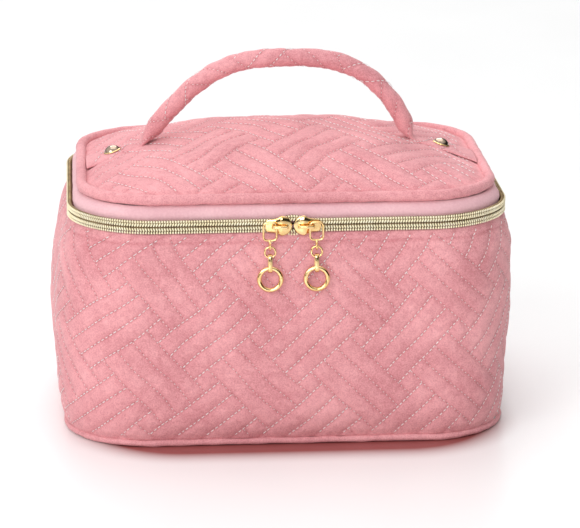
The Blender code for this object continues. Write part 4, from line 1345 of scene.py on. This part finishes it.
def shield(side):
    t = np.arange(36) * 2 * math.pi / 36
    at = np.linspace(0.4, 12.95, 46)
    half = np.interp(at, SHIELD_AT, SHIELD_HALF)
    half[1:-1] = (half[:-2] + 2 * half[1:-1] + half[2:]) / 4
    crown = 0.25 + 0.95 * np.clip(half / 4.8, 0, 1) ** 1.5 * np.clip((13.2 - at) / 6, 0.35, 1)
    c, s = np.cos(t), np.sin(t)
    height = half[:, None] * np.sign(c) * np.abs(c) ** 0.9
    front = -82.0 - np.where(s > 0, crown[:, None] * np.abs(s) ** 0.75, 0) - 0.1
    back_face = -82.1 + 0.55 * np.abs(np.minimum(s, 0)) ** 0.4
    depth = np.where(s > 0, front, back_face)
    points = np.stack([np.broadcast_to(side * at[:, None], height.shape), depth, height + ZIP_Z], -1)
    return ends(points, grid_quads(len(at), 36)[:, ::(-1 if side > 0 else 1)])


def joined(*parts):
    """Several point-and-face lists as one."""
    points, quads, count = [], [], 0
    for p, q in parts:
        points.append(p)
        quads.append(q + count)
        count += len(p)
    return np.concatenate(points), np.concatenate(quads)


def rounded_path(corners, bend, steps=7):
    """A path of straight runs with its corners rounded off."""
    corners = np.asarray(corners, float)
    path = [corners[0]]
    for a, b, c in zip(corners, corners[1:], corners[2:]):
        start, stop = b + unit(a - b) * bend, b + unit(c - b) * bend
        for t in np.linspace(0, 1, steps):
            path.append((1 - t) ** 2 * start + 2 * t * (1 - t) * b + t * t * stop)
    return np.array(path + [corners[-1]])


def slider(side, word):
    bridge = rounded_path([(side * 2.5, -81.8, ZIP_Z), (side * 2.6, -85.8, ZIP_Z),
        (side * 9.6, -85.8, ZIP_Z), (side * 9.7, -81.8, ZIP_Z)], 1.3)
    bridge_part = tube(bridge, 0.72, 0.42, (0, 0, 1), around=16, square=0.6)
    plate = rounded_path([(side * 1.2, -77.6, ZIP_Z), (side * 12.0, -77.6, ZIP_Z)], 0.5)
    behind = tube(np.linspace(plate[0], plate[-1], 12), 3.0, 0.42, (0, 0, 1), around=16, square=0.35)
    web = tube(np.linspace((side * 3.4, -81.9, ZIP_Z), (side * 3.4, -77.6, ZIP_Z), 6), 2.2, 0.14,
        (1, 0, 0), around=12, square=0.5)
    made = piece(f"slider_{word}_shield", *joined(shield(side), bridge_part, behind, web), gold)
    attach(made, f"slider_{word}")
    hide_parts(f"slider_{word}")


for side, word in ((-1, "left"), (1, "right")):
    slider(side, word)
print("sliders made")

# %% [markdown]
# ## Pulls
# From each bridge hangs a wire frame with an eye, a small ring, a folded link and a large ring, each free
# in the one above. Each is a bent wire or strap, so each is a tube along its own path, and rides
# on its own body so that the whole chain can swing.
# %% Pull chain
TILT = math.radians(3)


def hung(points, side):
    """Puts points measured from the bridge's bar into place, tilted out over the wall."""
    x, y, z = points[..., 0], points[..., 1] + 1.35, points[..., 2]
    c, s = math.cos(-TILT), math.sin(-TILT)
    return np.stack([x + side * 10.85, y * c - z * s - 85.8, y * s + z * c + ZIP_Z], -1)


def rounded_frame(half, top, bottom, corner, steps=9):
    path = []
    for quarter, (cx, cz) in enumerate(((half - corner, top - corner), (corner - half, top - corner),
            (corner - half, bottom + corner), (half - corner, bottom + corner))):
        for angle in (quarter + np.linspace(0, 1, steps)) * math.pi / 2:
            path.append((cx + corner * math.cos(angle), 0, cz + corner * math.sin(angle)))
    return np.array(path)


def link_loop(top_r, bottom_r, length, steps=12):
    a = np.linspace(0, math.pi, steps)
    top = np.stack([0 * a, top_r * np.cos(a), top_r * np.sin(a)], -1)
    low = np.stack([0 * a, -bottom_r * np.cos(a), -length - bottom_r * np.sin(a)], -1)
    return np.concatenate([top, low])


def hang(name, parts, side, body, node):
    points, quads = joined(*parts)
    made = piece(name, hung(points, side), quads, gold)
    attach(made, body)
    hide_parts(node)


for side, word in ((-1, "left"), (1, "right")):
    eye = ring(1.3, (0, 0, -9.3), 28)[:, [1, 0, 2]]
    frame_parts = (
        tube(rounded_frame(3.05, 2.1, -6.25, 1.8), 0.5, 0.5, (0, 1, 0), True, 12),
        tube(np.linspace((0, 0, -6.0), (0, 0, -8.1), 6), np.array([0.95, 0.85, 0.68, 0.6, 0.66, 0.75]),
            0.6, (1, 0, 0), around=14),
        tube(eye, 0.46, 0.45, (1, 0, 0), True, 12))
    hang(f"pull_frame_{word}_wire", frame_parts, side, f"frame_{word}", f"pull_frame_{word}")
    hang(f"pull_small_ring_{word}_wire", (tube(ring(2.5, (0, 0, -11.8)), 0.5, 0.5, (0, 1, 0), True, 14),),
        side, f"small_ring_{word}", f"pull_small_ring_{word}")
    link = link_loop(1.1 + 0.3, 1.5 + 0.3, 5.15) + np.array([0, 0, -14.3])
    hang(f"pull_link_{word}_strap", (tube(link, 0.98, 0.28, (1, 0, 0), True, 14, 0.5),), side,
        f"link_{word}", f"pull_link_{word}")
    hang(f"pull_big_ring_{word}_band", (tube(ring(5.15, (0, 0, -24.6), 64), 1.0, 1.05, (0, 1, 0), True,
        20),), side, f"big_ring_{word}", f"pull_big_ring_{word}")
print("pulls made")

# %% [markdown]
# ## Inside
# Foam behind the velvet keeps the wall upright, and a board stiffens the base. Over them lies a loose
# box of lining, which wrinkles a little because it is cut slightly larger than the space.
# %% Foam and lining
def shell(name, rows, finish, body, nodes):
    """A piece from rings of points, closed to a point at the last ring if that is small."""
    points = np.stack(rows)
    count, columns = points.shape[:2]
    flat, quads = points.reshape(-1, 3), grid_quads(count, columns)
    if np.ptp(points[-1], axis=0).max() < 30:
        flat = np.concatenate([flat, points[-1].mean(0)[None]])
        quads = np.concatenate([quads, fan_quads(np.arange(columns) + (count - 1) * columns, len(flat) - 1)])
    made = piece(name, flat, quads, finish,
        {"run": np.r_[np.tile(np.linspace(0, LAP, columns), count),
        np.zeros(len(flat) - count * columns)]})
    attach(made, body)
    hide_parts(*nodes)
    return made


runs = np.arange(360) * LAP / 360


def wall_row(z, inset, wrinkle, seed):
    row = wall_base(runs, np.full(360, float(z)), inset)
    return row - wall_normal(runs, np.full(360, float(z))) * (wrinkle
        * (0.5 + 0.5 * soft_noise(row, 22, seed)))[:, None]


foam_rows = [wall_row(z, 3.3, 0.3, 150) for z in np.linspace(5.2, 94.4, 24)]
foam_rows += [wall_row(z, 7.3, 0.3, 151) for z in np.linspace(94.4, 5.2, 24)]
foam_rows.append(foam_rows[0])
foam = shell("wall_foam_sheet", foam_rows, wadding, "bag", ("wall_foam",))


def floor_row(share, z, seed):
    spot = walk(runs, 99.0 * share, 69.5 * share, 31.5 * share)[0]
    return np.concatenate([spot, (z + 0.45 * (0.5 + 0.5 * soft_noise(spot, 24, seed)))[:, None]], -1)


lining_rows = [wall_row(z, 7.9, 0.7, 152) for z in np.linspace(98.2, 9.0, 40)]
lining_rows += [floor_row(s, z, 153) for s, z in ((1.0, 6.6), (0.97, 5.6), (0.93, 5.25), (0.8, 5.2),
    (0.6, 5.2), (0.4, 5.2), (0.2, 5.2), (0.04, 5.2))]
lining = shell("body_lining_cloth", lining_rows, lining_cloth, "bag", ("body_lining",))
print("body foam and lining made")

# %% Lid foam and lining
def lid_rows(levels, spread, wrinkle, seed):
    made = []
    for share, drop in levels:
        spot = walk(runs, (94.1 + spread) * share, (70.4 + spread) * share, (34 + spread) * share)[0]
        z = DOME_EDGE_Z + DOME_RISE * (1 - share ** DOME_POWER) - drop - wrinkle * (0.5
            + 0.5 * soft_noise(spot, 20, seed))
        made.append(np.concatenate([spot, z[:, None]], -1))
    return made


steps = np.linspace(0.99, 0.03, 30)
foam_top = lid_rows([(s, 3.3) for s in steps], 0.4, 0.1, 160)
foam_under = lid_rows([(s, 5.2) for s in steps[::-1]], 0.4, 0.1, 161)
lid_foam = shell("lid_foam_sheet", foam_under + foam_top, wadding, "lid", ("lid_foam",))
lid_lining = shell("lid_lining_cloth", lid_rows([(s, 5.7) for s in steps], 0.6, 0.5, 162), lining_cloth,
    "lid", ("lid_lining",))
lid_lining.data.flip_normals()
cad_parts["base_board"].data.materials.clear()
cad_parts["base_board"].data.materials.append(greyboard)
print("lid foam and lining made")
